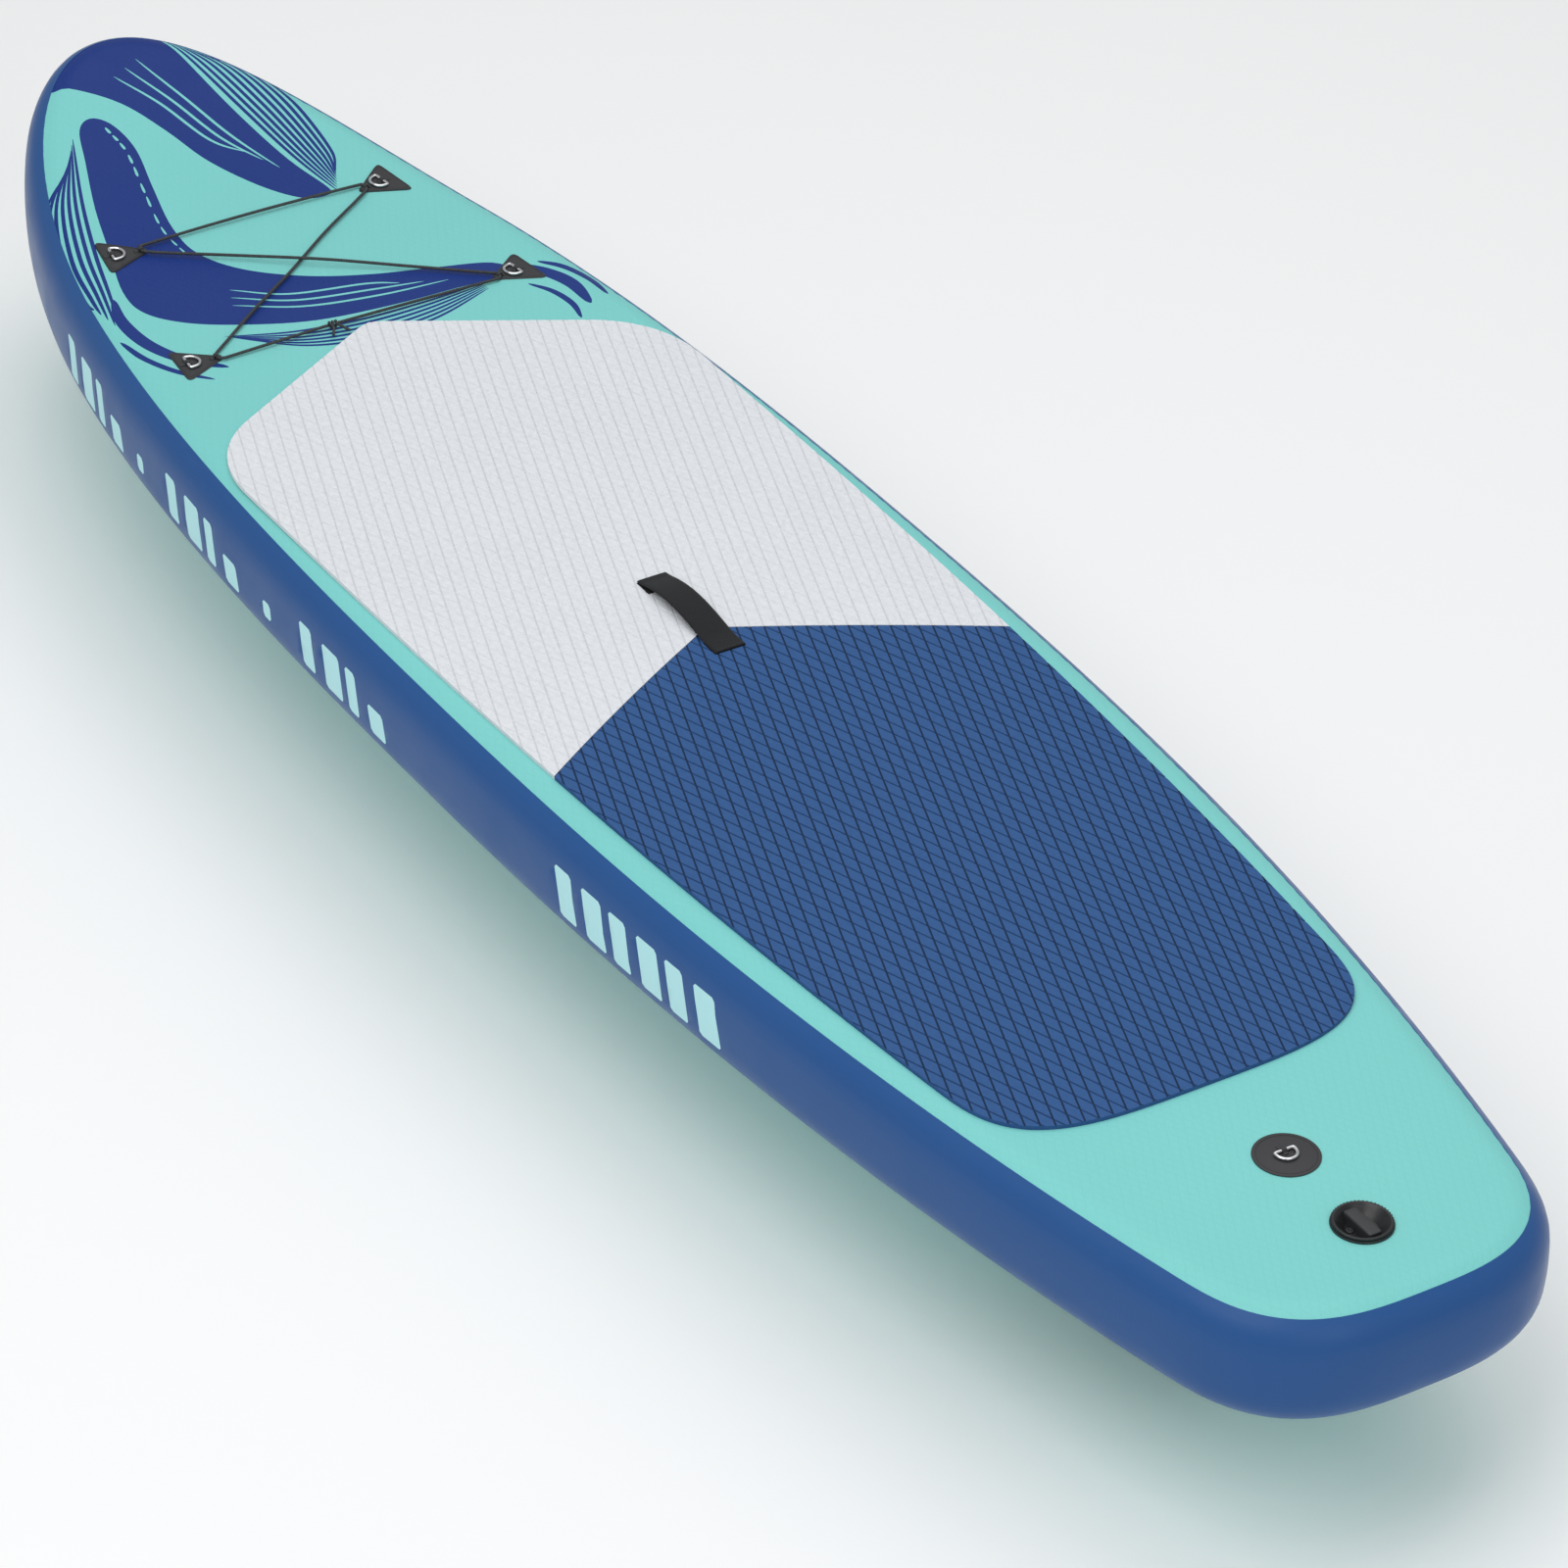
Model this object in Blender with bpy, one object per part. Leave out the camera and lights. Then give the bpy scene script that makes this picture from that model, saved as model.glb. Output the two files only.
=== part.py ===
"""Inflatable stand up paddleboard with deck pads, bungee, valve and fins.

Metres, +Z up. +X points to the nose and +Y to the board's left side. The
origin is under the middle of the board, level with the tip of its centre fin.
"""

import math

import bmesh
import bpy
from mathutils import Matrix, Vector

GAP = 0.0003

# Board
LENGTH = 3.05
WIDTH = 0.76
THICKNESS = 0.15
EDGE_RADIUS = 0.049
SKIN = 0.0015
RAIL_SKIN = 0.0018
COLOUR_LINE = 31.0
ROCKER = 0.308
ROCKER_START = 0.99
ROCKER_CLEARANCE = 0.0009
NOSE_POWER = 2.6
NOSE_BLUNT = 0.49
TAIL_TAPER = 0.18
TAIL_POWER = 2.25
TAIL_CORNER = 0.175
NOSE_STEPS = 20
SIDE_STEPS = 8
TAIL_STEPS = 6

# Drop stitch core
CORE_SHEET = 0.001
CORE_INSET = 0.05
CORE_SPLITS = (1.0, 1.15, 1.31)
CORE_HOLE = 0.043
POST = 0.005
POST_SPACING = 0.17

# Deck pads
PAD_THICKNESS = 0.005
PAD_GAP = 0.0012
PAD_HALF = 0.335
PAD_WIDEST = 0.40
PAD_TAPER = 0.102
PAD_REAR = -1.094
PAD_CORNER = 0.164
PAD_APEX = 0.785
PAD_SWEEP = 0.545
SPLIT_APEX = -0.042

# Carry handle
HANDLE_REAR = -0.0985
HANDLE_FRONT = 0.083
HANDLE_FOOT = 0.028
HANDLE_TOE = 0.009
HANDLE_WIDTH = 0.043
HANDLE_STRAP = 0.003
HANDLE_RISE = 0.016
HANDLE_BOW = 0.7

# D-rings and their patches
WIRE = 0.004
RING_WIDTH = 0.030
RING_DEPTH = 0.021
PATCH = 0.0015
PATCH_SIDE = 0.080
PATCH_REACH = 0.068
PATCH_ROUND = 0.008
TAPE = 0.001
RING_TAPE = 0.009
CORD = 0.004
CORD_TURN = 0.053
FRONT_PATCH = (1.094, 0.222, 9.5)
REAR_PATCH = (0.811, 0.2635, 6.5)
LEFT_RING = 0.013
RIGHT_RING = 0.0245
LEASH_X = -1.2415
LEASH_RADIUS = 0.039
LEASH_RING_X = -1.236

# Valve
VALVE_X = -1.381
FLANGE_RADIUS = 0.036
THROAT_RADIUS = 0.0305
NUT_RADIUS = 0.040

# Fins
FIN_REACH = 0.21
BOX_X = -1.07
BOX_LENGTH = 0.26
BOX_WIDTH = 0.034
BOX_DEPTH = 0.026
SLOT_WIDTH = 0.0095
SLOT_LENGTH = 0.236
SLOT_TOP = -0.0045
TRACK_WIDTH = 0.020
TRACK_TOP = -0.0049
TRACK_BOTTOM = -0.0121
TONGUE_LENGTH = 0.160
TONGUE_DEPTH = 0.0205
TAB_LENGTH = 0.034
SCREW_RADIUS = 0.0021
NUT_THICKNESS = 0.003
SIDE_FIN_X = -1.03
SIDE_FIN_Y = 0.16
SIDE_FIN_REACH = 0.095

BOTTOM_Z = FIN_REACH
DECK_Z = BOTTOM_Z + THICKNESS
HALF = LENGTH / 2

TURQUOISE = (0.22, 0.64, 0.62, 1)
BLUE = (0.06, 0.14, 0.32, 1)
PAD_BLUE = (0.05, 0.12, 0.28, 1)
PAD_GREY = (0.72, 0.74, 0.76, 1)
CORE_WHITE = (0.8, 0.8, 0.76, 1)
DARK_GREY = (0.075, 0.075, 0.078, 1)
BLACK = (0.02, 0.02, 0.022, 1)
STEEL = (0.75, 0.75, 0.76, 1)
BRASS = (0.72, 0.5, 0.2, 1)

materials = {}


def clear_scene():
    for obj in list(bpy.data.objects):
        bpy.data.objects.remove(obj, do_unlink=True)


def material(name, colour, roughness, metallic=0.0):
    made = bpy.data.materials.new(name)
    made.use_nodes = True
    shader = made.node_tree.nodes["Principled BSDF"]
    shader.inputs["Base Color"].default_value = colour
    shader.inputs["Roughness"].default_value = roughness
    shader.inputs["Metallic"].default_value = metallic
    materials[name] = made


def add_object(name, data, finish, place=None):
    """Links an object that shows this mesh or curve, and stands it at a place."""
    obj = bpy.data.objects.new(name, data)
    bpy.context.scene.collection.objects.link(obj)
    data.materials.append(materials[finish])
    if place is not None:
        obj.matrix_world = place
    return obj


def add_mesh(name, bm, finish, place=None, smooth=30):
    bmesh.ops.recalc_face_normals(bm, faces=bm.faces)
    if bm.calc_volume(signed=True) < 0:
        bmesh.ops.reverse_faces(bm, faces=bm.faces)
    mesh = bpy.data.meshes.new(name)
    bm.to_mesh(mesh)
    bm.free()
    mesh.shade_smooth()
    mesh.set_sharp_from_angle(angle=math.radians(smooth))
    return add_object(name, mesh, finish, place)


def hide_tool(obj):
    obj.hide_render = True
    obj.display_type = "WIRE"
    return obj


def combine(obj, tool, operation):
    """Adds a Boolean with another object, which is hidden as a tool."""
    hide_tool(tool)
    modifier = obj.modifiers.new(tool.name, "BOOLEAN")
    modifier.operation = operation
    modifier.solver = "EXACT"
    modifier.object = tool


# --- Shapes -----------------------------------------------------------------


def join_rings(bm, rings, closed):
    """Makes faces between rings of vertices that hold the same number each."""
    pairs = list(zip(rings, rings[1:]))
    if closed:
        pairs.append((rings[-1], rings[0]))
    for first, second in pairs:
        count = len(first)
        for i in range(count):
            j = (i + 1) % count
            corners = [first[i], first[j], second[j], second[i]]
            corners = list(dict.fromkeys(corners))
            if len(corners) > 2:
                bm.faces.new(corners)


def prism(outline, low, high):
    """A flat outline of (x, y) made solid from one height to another."""
    bm = bmesh.new()
    rings = [[bm.verts.new((x, y, z)) for x, y in outline] for z in (low, high)]
    join_rings(bm, rings, closed=False)
    bm.faces.new(rings[0][::-1])
    bm.faces.new(rings[1])
    return bm


def block(size, centre):
    bm = bmesh.new()
    bmesh.ops.create_cube(bm, size=1, matrix=Matrix.Translation(centre) @ Matrix.Diagonal((*size, 1)))
    return bm


def disc(radius, low, high, steps=32):
    return prism([(radius * c, radius * s) for c, s in circle(steps)], low, high)


def circle(steps):
    turns = (2 * math.pi * i / steps for i in range(steps))
    return [(math.cos(a), math.sin(a)) for a in turns]


def turned(profile, steps):
    """Turns a closed profile of (radius, height) points round the Z axis."""
    bm = bmesh.new()
    poles = {i: bm.verts.new((0, 0, z)) for i, (r, z) in enumerate(profile) if r == 0}
    rings = []
    for c, s in circle(steps):
        ring = [poles.get(i) or bm.verts.new((r * c, r * s, z)) for i, (r, z) in enumerate(profile)]
        rings.append(ring)
    for first, second in zip(rings, rings[1:] + rings[:1]):
        for i in range(len(profile)):
            j = (i + 1) % len(profile)
            corners = list(dict.fromkeys([first[i], first[j], second[j], second[i]]))
            if len(corners) > 2:
                bm.faces.new(corners)
    return bm


def ribbon(route, thickness, width):
    """A flat band of even thickness that follows a route of (x, z) points."""
    upper = []
    lower = []
    for i, point in enumerate(route):
        here = Vector(point)
        before = Vector(route[max(i - 1, 0)])
        after = Vector(route[min(i + 1, len(route) - 1)])
        along = (after - before).normalized()
        across = Vector((-along.y, along.x)) * thickness / 2
        upper.append(here + across)
        lower.append(here - across)
    outline = [(p.x, p.y) for p in upper + lower[::-1]]
    bm = prism(outline, -width / 2, width / 2)
    bm.transform(Matrix.Rotation(math.radians(90), 4, "X"))
    return bm


def poly_curve(name, points, radius, finish, cyclic, sides=2, place=None):
    curve = bpy.data.curves.new(name, "CURVE")
    curve.dimensions = "3D"
    curve.bevel_depth = radius
    curve.bevel_resolution = sides
    curve.use_fill_caps = not cyclic
    spline = curve.splines.new("POLY")
    spline.points.add(len(points) - 1)
    for knot, point in zip(spline.points, points):
        knot.co = (*point, 1)
    spline.use_cyclic_u = cyclic
    spline.use_smooth = True
    return add_object(name, curve, finish, place)


def through(points, steps):
    """Points of a smooth curve through these points, with even steps in each span."""
    padded = [2 * points[0] - points[1], *points, 2 * points[-1] - points[-2]]
    result = []
    for a, b, c, d in zip(padded, padded[1:], padded[2:], padded[3:]):
        for i in range(steps):
            t = i / steps
            result.append(
                0.5
                * (2 * b + (c - a) * t + (2 * a - 5 * b + 4 * c - d) * t**2 + (3 * b - 3 * c + d - a) * t**3)
            )
    return result + [points[-1]]


# --- Board outline and shells -----------------------------------------------


def rise(x):
    """How far the nose is lifted at x."""
    return ROCKER * max(0.0, x - ROCKER_START) ** 2


def slope(x):
    return math.atan(2 * ROCKER * max(0.0, x - ROCKER_START))


def tail_width(x):
    return WIDTH / 2 * (1 - TAIL_TAPER * abs(x) ** TAIL_POWER)


def half_outline():
    """Outline points (x, y) on the left side, from the nose's tip to the tail's end."""
    points = []
    for i in range(NOSE_STEPS):
        a = math.pi / 2 * (1 - i / NOSE_STEPS)
        y = WIDTH / 2 * math.cos(a) ** (2 * NOSE_BLUNT) if i else 0.0
        points.append((HALF * math.sin(a) ** (2 / NOSE_POWER), y))
    straight = HALF - TAIL_CORNER
    for i in range(SIDE_STEPS):
        x = -straight * i / SIDE_STEPS
        points.append((x, tail_width(x)))
    for i in range(TAIL_STEPS + 1):
        a = math.pi / 2 * i / TAIL_STEPS
        x = -straight - TAIL_CORNER * math.sin(a) ** (2 / 3)
        y = tail_width(x) * math.cos(a) ** (2 / 3) if i < TAIL_STEPS else 0.0
        points.append((x, y))
    return points


def with_normals(points):
    """Each outline point with its outward direction, as (x, y, nx, ny)."""
    result = []
    last = len(points) - 1
    for i, (x, y) in enumerate(points):
        if i in (0, last):
            result.append((x, y, 1.0 if i == 0 else -1.0, 0.0))
            continue
        along = Vector(points[i + 1]) - Vector(points[i - 1])
        along.normalize()
        result.append((x, y, along.y, -along.x))
    return result


LEFT_SIDE = with_normals(half_outline())
RIGHT_SIDE = [(x, -y, nx, -ny) for x, y, nx, ny in LEFT_SIDE]
WHOLE = LEFT_SIDE + RIGHT_SIDE[-2:0:-1]


def edge_point(base, turn, inward):
    """A point of the board's rounded edge.

    turn is 0 where the deck starts to curve, 90 on the upright side and 180
    where the bottom is flat again. inward is the depth below the surface.
    """
    x, y, nx, ny = base
    radius = EDGE_RADIUS - inward
    inset = EDGE_RADIUS - radius * math.sin(math.radians(turn))
    middle = THICKNESS - EDGE_RADIUS if turn <= 90 else EDGE_RADIUS
    px = x - nx * inset
    z = middle + radius * math.cos(math.radians(turn))
    return (px, y - ny * inset, BOTTOM_Z + z + rise(px))


def panel_faces(bm, ring):
    """Fills a ring over the whole outline with strips from side to side."""
    half = len(LEFT_SIDE)
    left = ring[:half]
    right = [ring[0]] + ring[: half - 2 : -1]
    for i in range(half - 1):
        corners = [left[i], left[i + 1], right[i + 1], right[i]]
        bm.faces.new(list(dict.fromkeys(corners)))


def panel(turns, thickness):
    """A deck or bottom sheet, which runs out over the edge through these turns."""
    bm = bmesh.new()
    rings = []
    for inward, order in ((0, turns), (thickness, turns[::-1])):
        for turn in order:
            rings.append([bm.verts.new(edge_point(base, turn, inward)) for base in WHOLE])
    join_rings(bm, rings, closed=False)
    panel_faces(bm, rings[0])
    panel_faces(bm, rings[-1])
    return bm


def rail(side, turns):
    """Half of the rail band, from the nose's tip to the middle of the tail."""
    bm = bmesh.new()
    rings = []
    for i, base in enumerate(side):
        x, y, nx, ny = base
        if i in (0, len(side) - 1):
            base = (x, math.copysign(GAP / 2, side[1][1]), nx, ny)
        ring = [edge_point(base, turn, 0) for turn in turns]
        ring += [edge_point(base, turn, RAIL_SKIN) for turn in turns[::-1]]
        rings.append([bm.verts.new(point) for point in ring])
    join_rings(bm, rings, closed=False)
    bm.faces.new(rings[0])
    bm.faces.new(rings[-1][::-1])
    return bm


def clipped(outline, axis, level, keep):
    """The part of an outline above a level of x or y, or below it if keep is -1."""
    result = []
    for i, here in enumerate(outline):
        before = outline[i - 1]
        first = (before[axis] - level) * keep
        second = (here[axis] - level) * keep
        if first * second < 0:
            share = first / (first - second)
            result.append(tuple(p + (q - p) * share for p, q in zip(before, here)))
        if second >= 0:
            result.append(here)
    return result


def cloth_faces(bm, ring):
    """Fills a flat piece at once, and one across the board in strips that follow the nose's rise."""
    left = sorted((v for v in ring if v.co.y > GAP), key=lambda v: -v.co.x)
    right = sorted((v for v in ring if v.co.y < -GAP), key=lambda v: -v.co.x)
    if not (left and right):
        bm.faces.new(ring)
        return
    for tip in (v for v in ring if abs(v.co.y) <= GAP):
        near = 0 if tip.co.x > left[0].co.x else -1
        bm.faces.new((tip, left[near], right[near]))
    for i in range(len(left) - 1):
        bm.faces.new((left[i], left[i + 1], right[i + 1], right[i]))


def core_sheet(outline, low, high):
    bm = bmesh.new()
    rings = [[bm.verts.new((x, y, BOTTOM_Z + z + rise(x))) for x, y in outline] for z in (low, high)]
    join_rings(bm, rings, closed=False)
    for ring in rings:
        cloth_faces(bm, ring)
    return bm


def crossing(outline, x):
    """Lowest and highest y where an outline crosses x."""
    found = []
    for i, here in enumerate(outline):
        before = outline[i - 1]
        if (before[0] - x) * (here[0] - x) < 0:
            found.append(before[1] + (here[1] - before[1]) * (x - before[0]) / (here[0] - before[0]))
    return min(found), max(found)


def add_core(name, outline):
    """A length of core: two base cloths held apart by rows of drop stitch yarn."""
    low = SKIN + GAP
    high = THICKNESS - SKIN - GAP
    core = add_mesh(name, core_sheet(outline, low, low + CORE_SHEET), "core")
    upper = add_mesh(f"{name}_upper_tool", core_sheet(outline, high - CORE_SHEET, high), "core")
    combine(core, upper, "UNION")
    posts = bmesh.new()
    height = high - low - CORE_SHEET
    front = max(x for x, y in outline)
    length = front - min(x for x, y in outline)
    rows = max(1, round(length / POST_SPACING))
    for row in range(rows):
        x = front - length * (row + 0.5) / rows
        first, last = crossing(outline, x)
        spare = last - first - 4 * POST
        count = int(spare / POST_SPACING) + 1
        for i in range(count):
            y = (first + last) / 2 + (i - (count - 1) / 2) * POST_SPACING
            centre = (x, y, BOTTOM_Z + THICKNESS / 2 + rise(x))
            bmesh.ops.create_cube(
                posts, size=1, matrix=Matrix.Translation(centre) @ Matrix.Diagonal((POST, POST, height, 1))
            )
    combine(core, add_mesh(f"{name}_posts_tool", posts, "core"), "UNION")


def build_core():
    """The core in lengths: one flat, three up the nose, and one on each side of the valve."""
    whole = [(x - nx * CORE_INSET, y - ny * CORE_INSET) for x, y, nx, ny in WHOLE]
    rear = VALVE_X + CORE_HOLE
    ends = [rear, *CORE_SPLITS, HALF]
    names = ("drop_stitch_core", "core_nose_low", "core_nose_middle", "core_nose_tip")
    for name, start, end in zip(names, ends, ends[1:]):
        length = clipped(clipped(whole, 0, start + GAP, 1), 0, end, -1)
        add_core(name, length)
    tail = clipped(whole, 0, rear, -1)
    for side, sign in (("left", 1), ("right", -1)):
        add_core(f"core_tail_{side}", clipped(tail, 1, sign * CORE_HOLE, sign))


def build_hull():
    line = COLOUR_LINE
    gap_turn = math.degrees(GAP / EDGE_RADIUS)
    deck = add_mesh("deck_skin", panel([0, line / 2, line], SKIN), "turquoise")
    hole = disc(THROAT_RADIUS + 0.0005, -0.01, 0.01)
    place = Matrix.Translation((VALVE_X, 0, DECK_Z))
    combine(deck, add_mesh("deck_hole_tool", hole, "black", place), "DIFFERENCE")
    add_mesh("bottom_skin", panel([180, 180 - line / 2, 180 - line], SKIN), "turquoise")
    first = line + gap_turn
    step = (90 - first) / 4
    turns = [first + step * i for i in range(5)]
    turns += [91.0, *(180 - turn for turn in turns[-2::-1])]
    add_mesh("rail_band_left", rail(LEFT_SIDE, turns), "blue")
    add_mesh("rail_band_right", rail(RIGHT_SIDE, turns), "blue")


# --- Deck pads and handle ---------------------------------------------------


def pad_width(x):
    return PAD_HALF * (1 - PAD_TAPER * max(0.0, PAD_WIDEST - x) ** 2.2)


def pad_side(front, rear, steps):
    points = []
    for i in range(steps + 1):
        x = front + (rear - front) * i / steps
        points.append((x, pad_width(x)))
    return points


def split_line(y):
    return SPLIT_APEX - 0.5 * abs(y) - 0.18 * y * y


def bend(start, corner, end, steps):
    """Points of a curve that leaves start towards a corner and turns to the end."""
    points = []
    for i in range(steps + 1):
        t = i / steps
        point = Vector(start) * (1 - t) ** 2 + Vector(corner) * 2 * t * (1 - t) + Vector(end) * t**2
        points.append(tuple(point))
    return points


def mirrored(half):
    """A closed outline from its left half, which runs from the front to the back."""
    return half + [(x, -y) for x, y in reversed(half) if y > 1e-6]


def front_pad_outline():
    corner = (PAD_APEX - PAD_SWEEP * PAD_HALF, PAD_HALF)
    half = bend((PAD_APEX - 0.004, 0.0), (PAD_APEX - 0.006, 0.012), (PAD_APEX - PAD_SWEEP * 0.03, 0.03), 2)
    half += bend((PAD_APEX - PAD_SWEEP * 0.25, 0.25), corner, (0.50, PAD_HALF), 6)
    end = split_line(pad_width(-0.22))
    half += pad_side(0.42, end, 6)
    half += [(split_line(y), y) for y in (0.24, 0.16, 0.08)]
    return mirrored(half + [(split_line(0), 0.0)])


def rear_pad_outline():
    half = [(split_line(y) - PAD_GAP, y) for y in (0.0, 0.08, 0.16, 0.24)]
    side = split_line(pad_width(-0.22)) - PAD_GAP
    straight = PAD_REAR + PAD_CORNER
    half += pad_side(side, straight, 6)[:-1]
    power = 3.7
    for i in range(9):
        a = math.pi / 2 * i / 8
        x = straight - PAD_CORNER * math.sin(a) ** (2 / power)
        y = pad_width(x) * math.cos(a) ** (2 / power) if i < 8 else 0.0
        half.append((x, y))
    return mirrored(half)


def foot_centres():
    return (HANDLE_FRONT - HANDLE_FOOT / 2, HANDLE_REAR + HANDLE_FOOT / 2)


def build_pads():
    low = DECK_Z + GAP
    high = low + PAD_THICKNESS
    front_x, rear_x = foot_centres()
    pads = (("front_pad", front_pad_outline(), front_x), ("rear_pad", rear_pad_outline(), rear_x))
    for name, outline, foot_x in pads:
        finish = "pad_grey" if name == "front_pad" else "pad_blue"
        pad = add_mesh(name, prism(outline, low, high), finish)
        slot = block((HANDLE_FOOT + 0.001, HANDLE_WIDTH + 0.001, 0.02), (foot_x, 0, DECK_Z))
        combine(pad, add_mesh(name + "_slot_tool", slot, "black"), "DIFFERENCE")


def build_handle():
    top = DECK_Z + GAP + PAD_THICKNESS
    for name, x in zip(("handle_anchor_front", "handle_anchor_rear"), foot_centres()):
        size = (HANDLE_FOOT, HANDLE_WIDTH, PAD_THICKNESS)
        add_mesh(name, block(size, (x, 0, top - PAD_THICKNESS / 2)), "black")
    base = top + GAP + HANDLE_STRAP / 2
    front = HANDLE_FRONT - HANDLE_TOE
    rear = HANDLE_REAR + HANDLE_FOOT
    route = [(HANDLE_REAR, base)]
    steps = 16
    for i in range(steps + 1):
        t = i / steps
        arch = math.sin(math.pi * (1 - t) ** HANDLE_BOW)
        route.append((rear + (front - rear) * t, base + HANDLE_RISE * arch))
    route.append((HANDLE_FRONT, base))
    add_mesh("carry_handle", ribbon(route, HANDLE_STRAP, HANDLE_WIDTH), "webbing")


# --- D-rings, patches and bungee --------------------------------------------


def deck_place(x, y, heading):
    """A place on the deck, tilted with it, whose +X points along a heading in degrees."""
    tilt = Matrix.Rotation(-slope(x), 4, "Y")
    turn = Matrix.Rotation(math.radians(heading), 4, "Z")
    lift = ROCKER_CLEARANCE if x > ROCKER_START else 0.0
    return Matrix.Translation((x, y, DECK_Z + rise(x) + lift)) @ tilt @ turn


def rounded_triangle():
    """A patch whose flat side is at x = 0 and whose tip points along +X."""
    corners = [(0.0, -PATCH_SIDE / 2), (PATCH_REACH, 0.0), (0.0, PATCH_SIDE / 2)]
    points = []
    for i, corner in enumerate(corners):
        before = Vector(corners[i - 1])
        after = Vector(corners[(i + 1) % 3])
        here = Vector(corner)
        cut = PATCH_ROUND * 1.6
        start = here + (before - here).normalized() * cut
        end = here + (after - here).normalized() * cut
        points += bend(start, here, end, 4)
    return points


def ring_route():
    """The D-ring's wire: a straight bar on the Y axis and an arc towards +X."""
    half = (RING_WIDTH - WIRE) / 2
    reach = RING_DEPTH - WIRE
    corner = 0.002
    route = [Vector((0, y, 0)) for y in (-half + corner, -half / 3, half / 3, half - corner)]
    steps = 12
    for i in range(steps + 1):
        a = math.pi * i / steps
        bulge = math.sin(a) ** 0.8 if 0 < i < steps else 0.0
        route.append(Vector((corner / 2 + (reach - corner / 2) * bulge, half * math.cos(a), 0)))
    return route


def keeper(bore, back, front):
    """Route of a tape that lies flat, passes over a round bar and lies flat again."""
    flat = PATCH + 2 * GAP + TAPE / 2
    middle = ring_height()
    reach = bore + TAPE / 2
    route = [(-back, flat), (-reach - 0.0022, flat)]
    for degrees in range(190, -15, -25):
        a = math.radians(degrees)
        route.append((reach * math.cos(a), middle + reach * math.sin(a)))
    return route + [(reach + 0.0012, flat), (front, flat)]


def ring_height():
    return PATCH + 3 * GAP + WIRE / 2


def add_ring(name, loop_name, place, bar_x):
    """A D-ring whose origin is on its bar, and the tape that holds the bar."""
    at_bar = place @ Matrix.Translation((bar_x, 0, 0))
    tape = ribbon(keeper(WIRE / 2 + 0.0004, 0.011, 0.0062), TAPE, RING_TAPE)
    add_mesh(loop_name, tape, "patch", at_bar)
    ring_place = at_bar @ Matrix.Translation((0, 0, ring_height()))
    poly_curve(name, ring_route(), WIRE / 2, "steel", True, 1, ring_place)


def build_bungee_patches():
    for row, (x, y, skew) in (("front", FRONT_PATCH), ("rear", REAR_PATCH)):
        for side, sign, bar_x in (("left", 1, LEFT_RING), ("right", -1, RIGHT_RING)):
            label = f"{row}_{side}"
            place = deck_place(x, sign * y, -sign * (90 + skew))
            add_mesh(f"bungee_patch_{label}", prism(rounded_triangle(), GAP, GAP + PATCH), "patch", place)
            add_ring(f"d_ring_{label}", f"ring_loop_{label}", place, bar_x)
            tape = ribbon(keeper(CORD / 2 + 0.0012, 0.0085, 0.0075), TAPE, 0.006)
            cord_place = place @ Matrix.Translation((CORD_TURN, 0, 0))
            add_mesh(f"cord_loop_{label}", tape, "patch", cord_place)


def build_leash_ring():
    place = deck_place(LEASH_X, 0, 180)
    add_mesh("leash_patch", disc(LEASH_RADIUS, GAP, GAP + PATCH, 40), "patch", place)
    add_ring("leash_ring", "leash_ring_loop", place, LEASH_X - LEASH_RING_X)


# The cord's route: x, y and height above the deck, from one side of the knot
# round the four patches and back to the other side of the knot.
CORD_ROUTE = (
    (0.7985, 0.050, 0.0062),
    (0.7970, 0.120, 0.0056),
    (0.7961, 0.1930, 0.0044),
    (0.7963, 0.2030, 0.0044),
    (0.7991, 0.2092, 0.0044),
    (0.8050, 0.2108, 0.0044),
    (0.8107, 0.2074, 0.0044),
    (0.8300, 0.1818, 0.0046),
    (0.8850, 0.1080, 0.0050),
    (0.9440, 0.0235, 0.0046),
    (1.0100, -0.0655, 0.0050),
    (1.0600, -0.1420, 0.0053),
    (1.0775, -0.1664, 0.0053),
    (1.0852, -0.1697, 0.0053),
    (1.0904, -0.1664, 0.0053),
    (1.0919, -0.1600, 0.0053),
    (1.0935, -0.0800, 0.0062),
    (1.0940, 0.0000, 0.0066),
    (1.0935, 0.0800, 0.0062),
    (1.0919, 0.1600, 0.0053),
    (1.0904, 0.1664, 0.0053),
    (1.0852, 0.1697, 0.0053),
    (1.0775, 0.1664, 0.0053),
    (1.0600, 0.1420, 0.0058),
    (1.0100, 0.0655, 0.0070),
    (0.9440, -0.0235, 0.0100),
    (0.8850, -0.1080, 0.0064),
    (0.8300, -0.1818, 0.0046),
    (0.8107, -0.2074, 0.0044),
    (0.8050, -0.2108, 0.0044),
    (0.7991, -0.2092, 0.0044),
    (0.7963, -0.2030, 0.0044),
    (0.7961, -0.1930, 0.0044),
    (0.7970, -0.0800, 0.0058),
    (0.7985, 0.0340, 0.0062),
)
KNOT = (0.7985, 0.042, 0.0062)


def on_deck(x, y, height):
    return Vector((x, y, DECK_Z + rise(x) + height))


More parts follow.
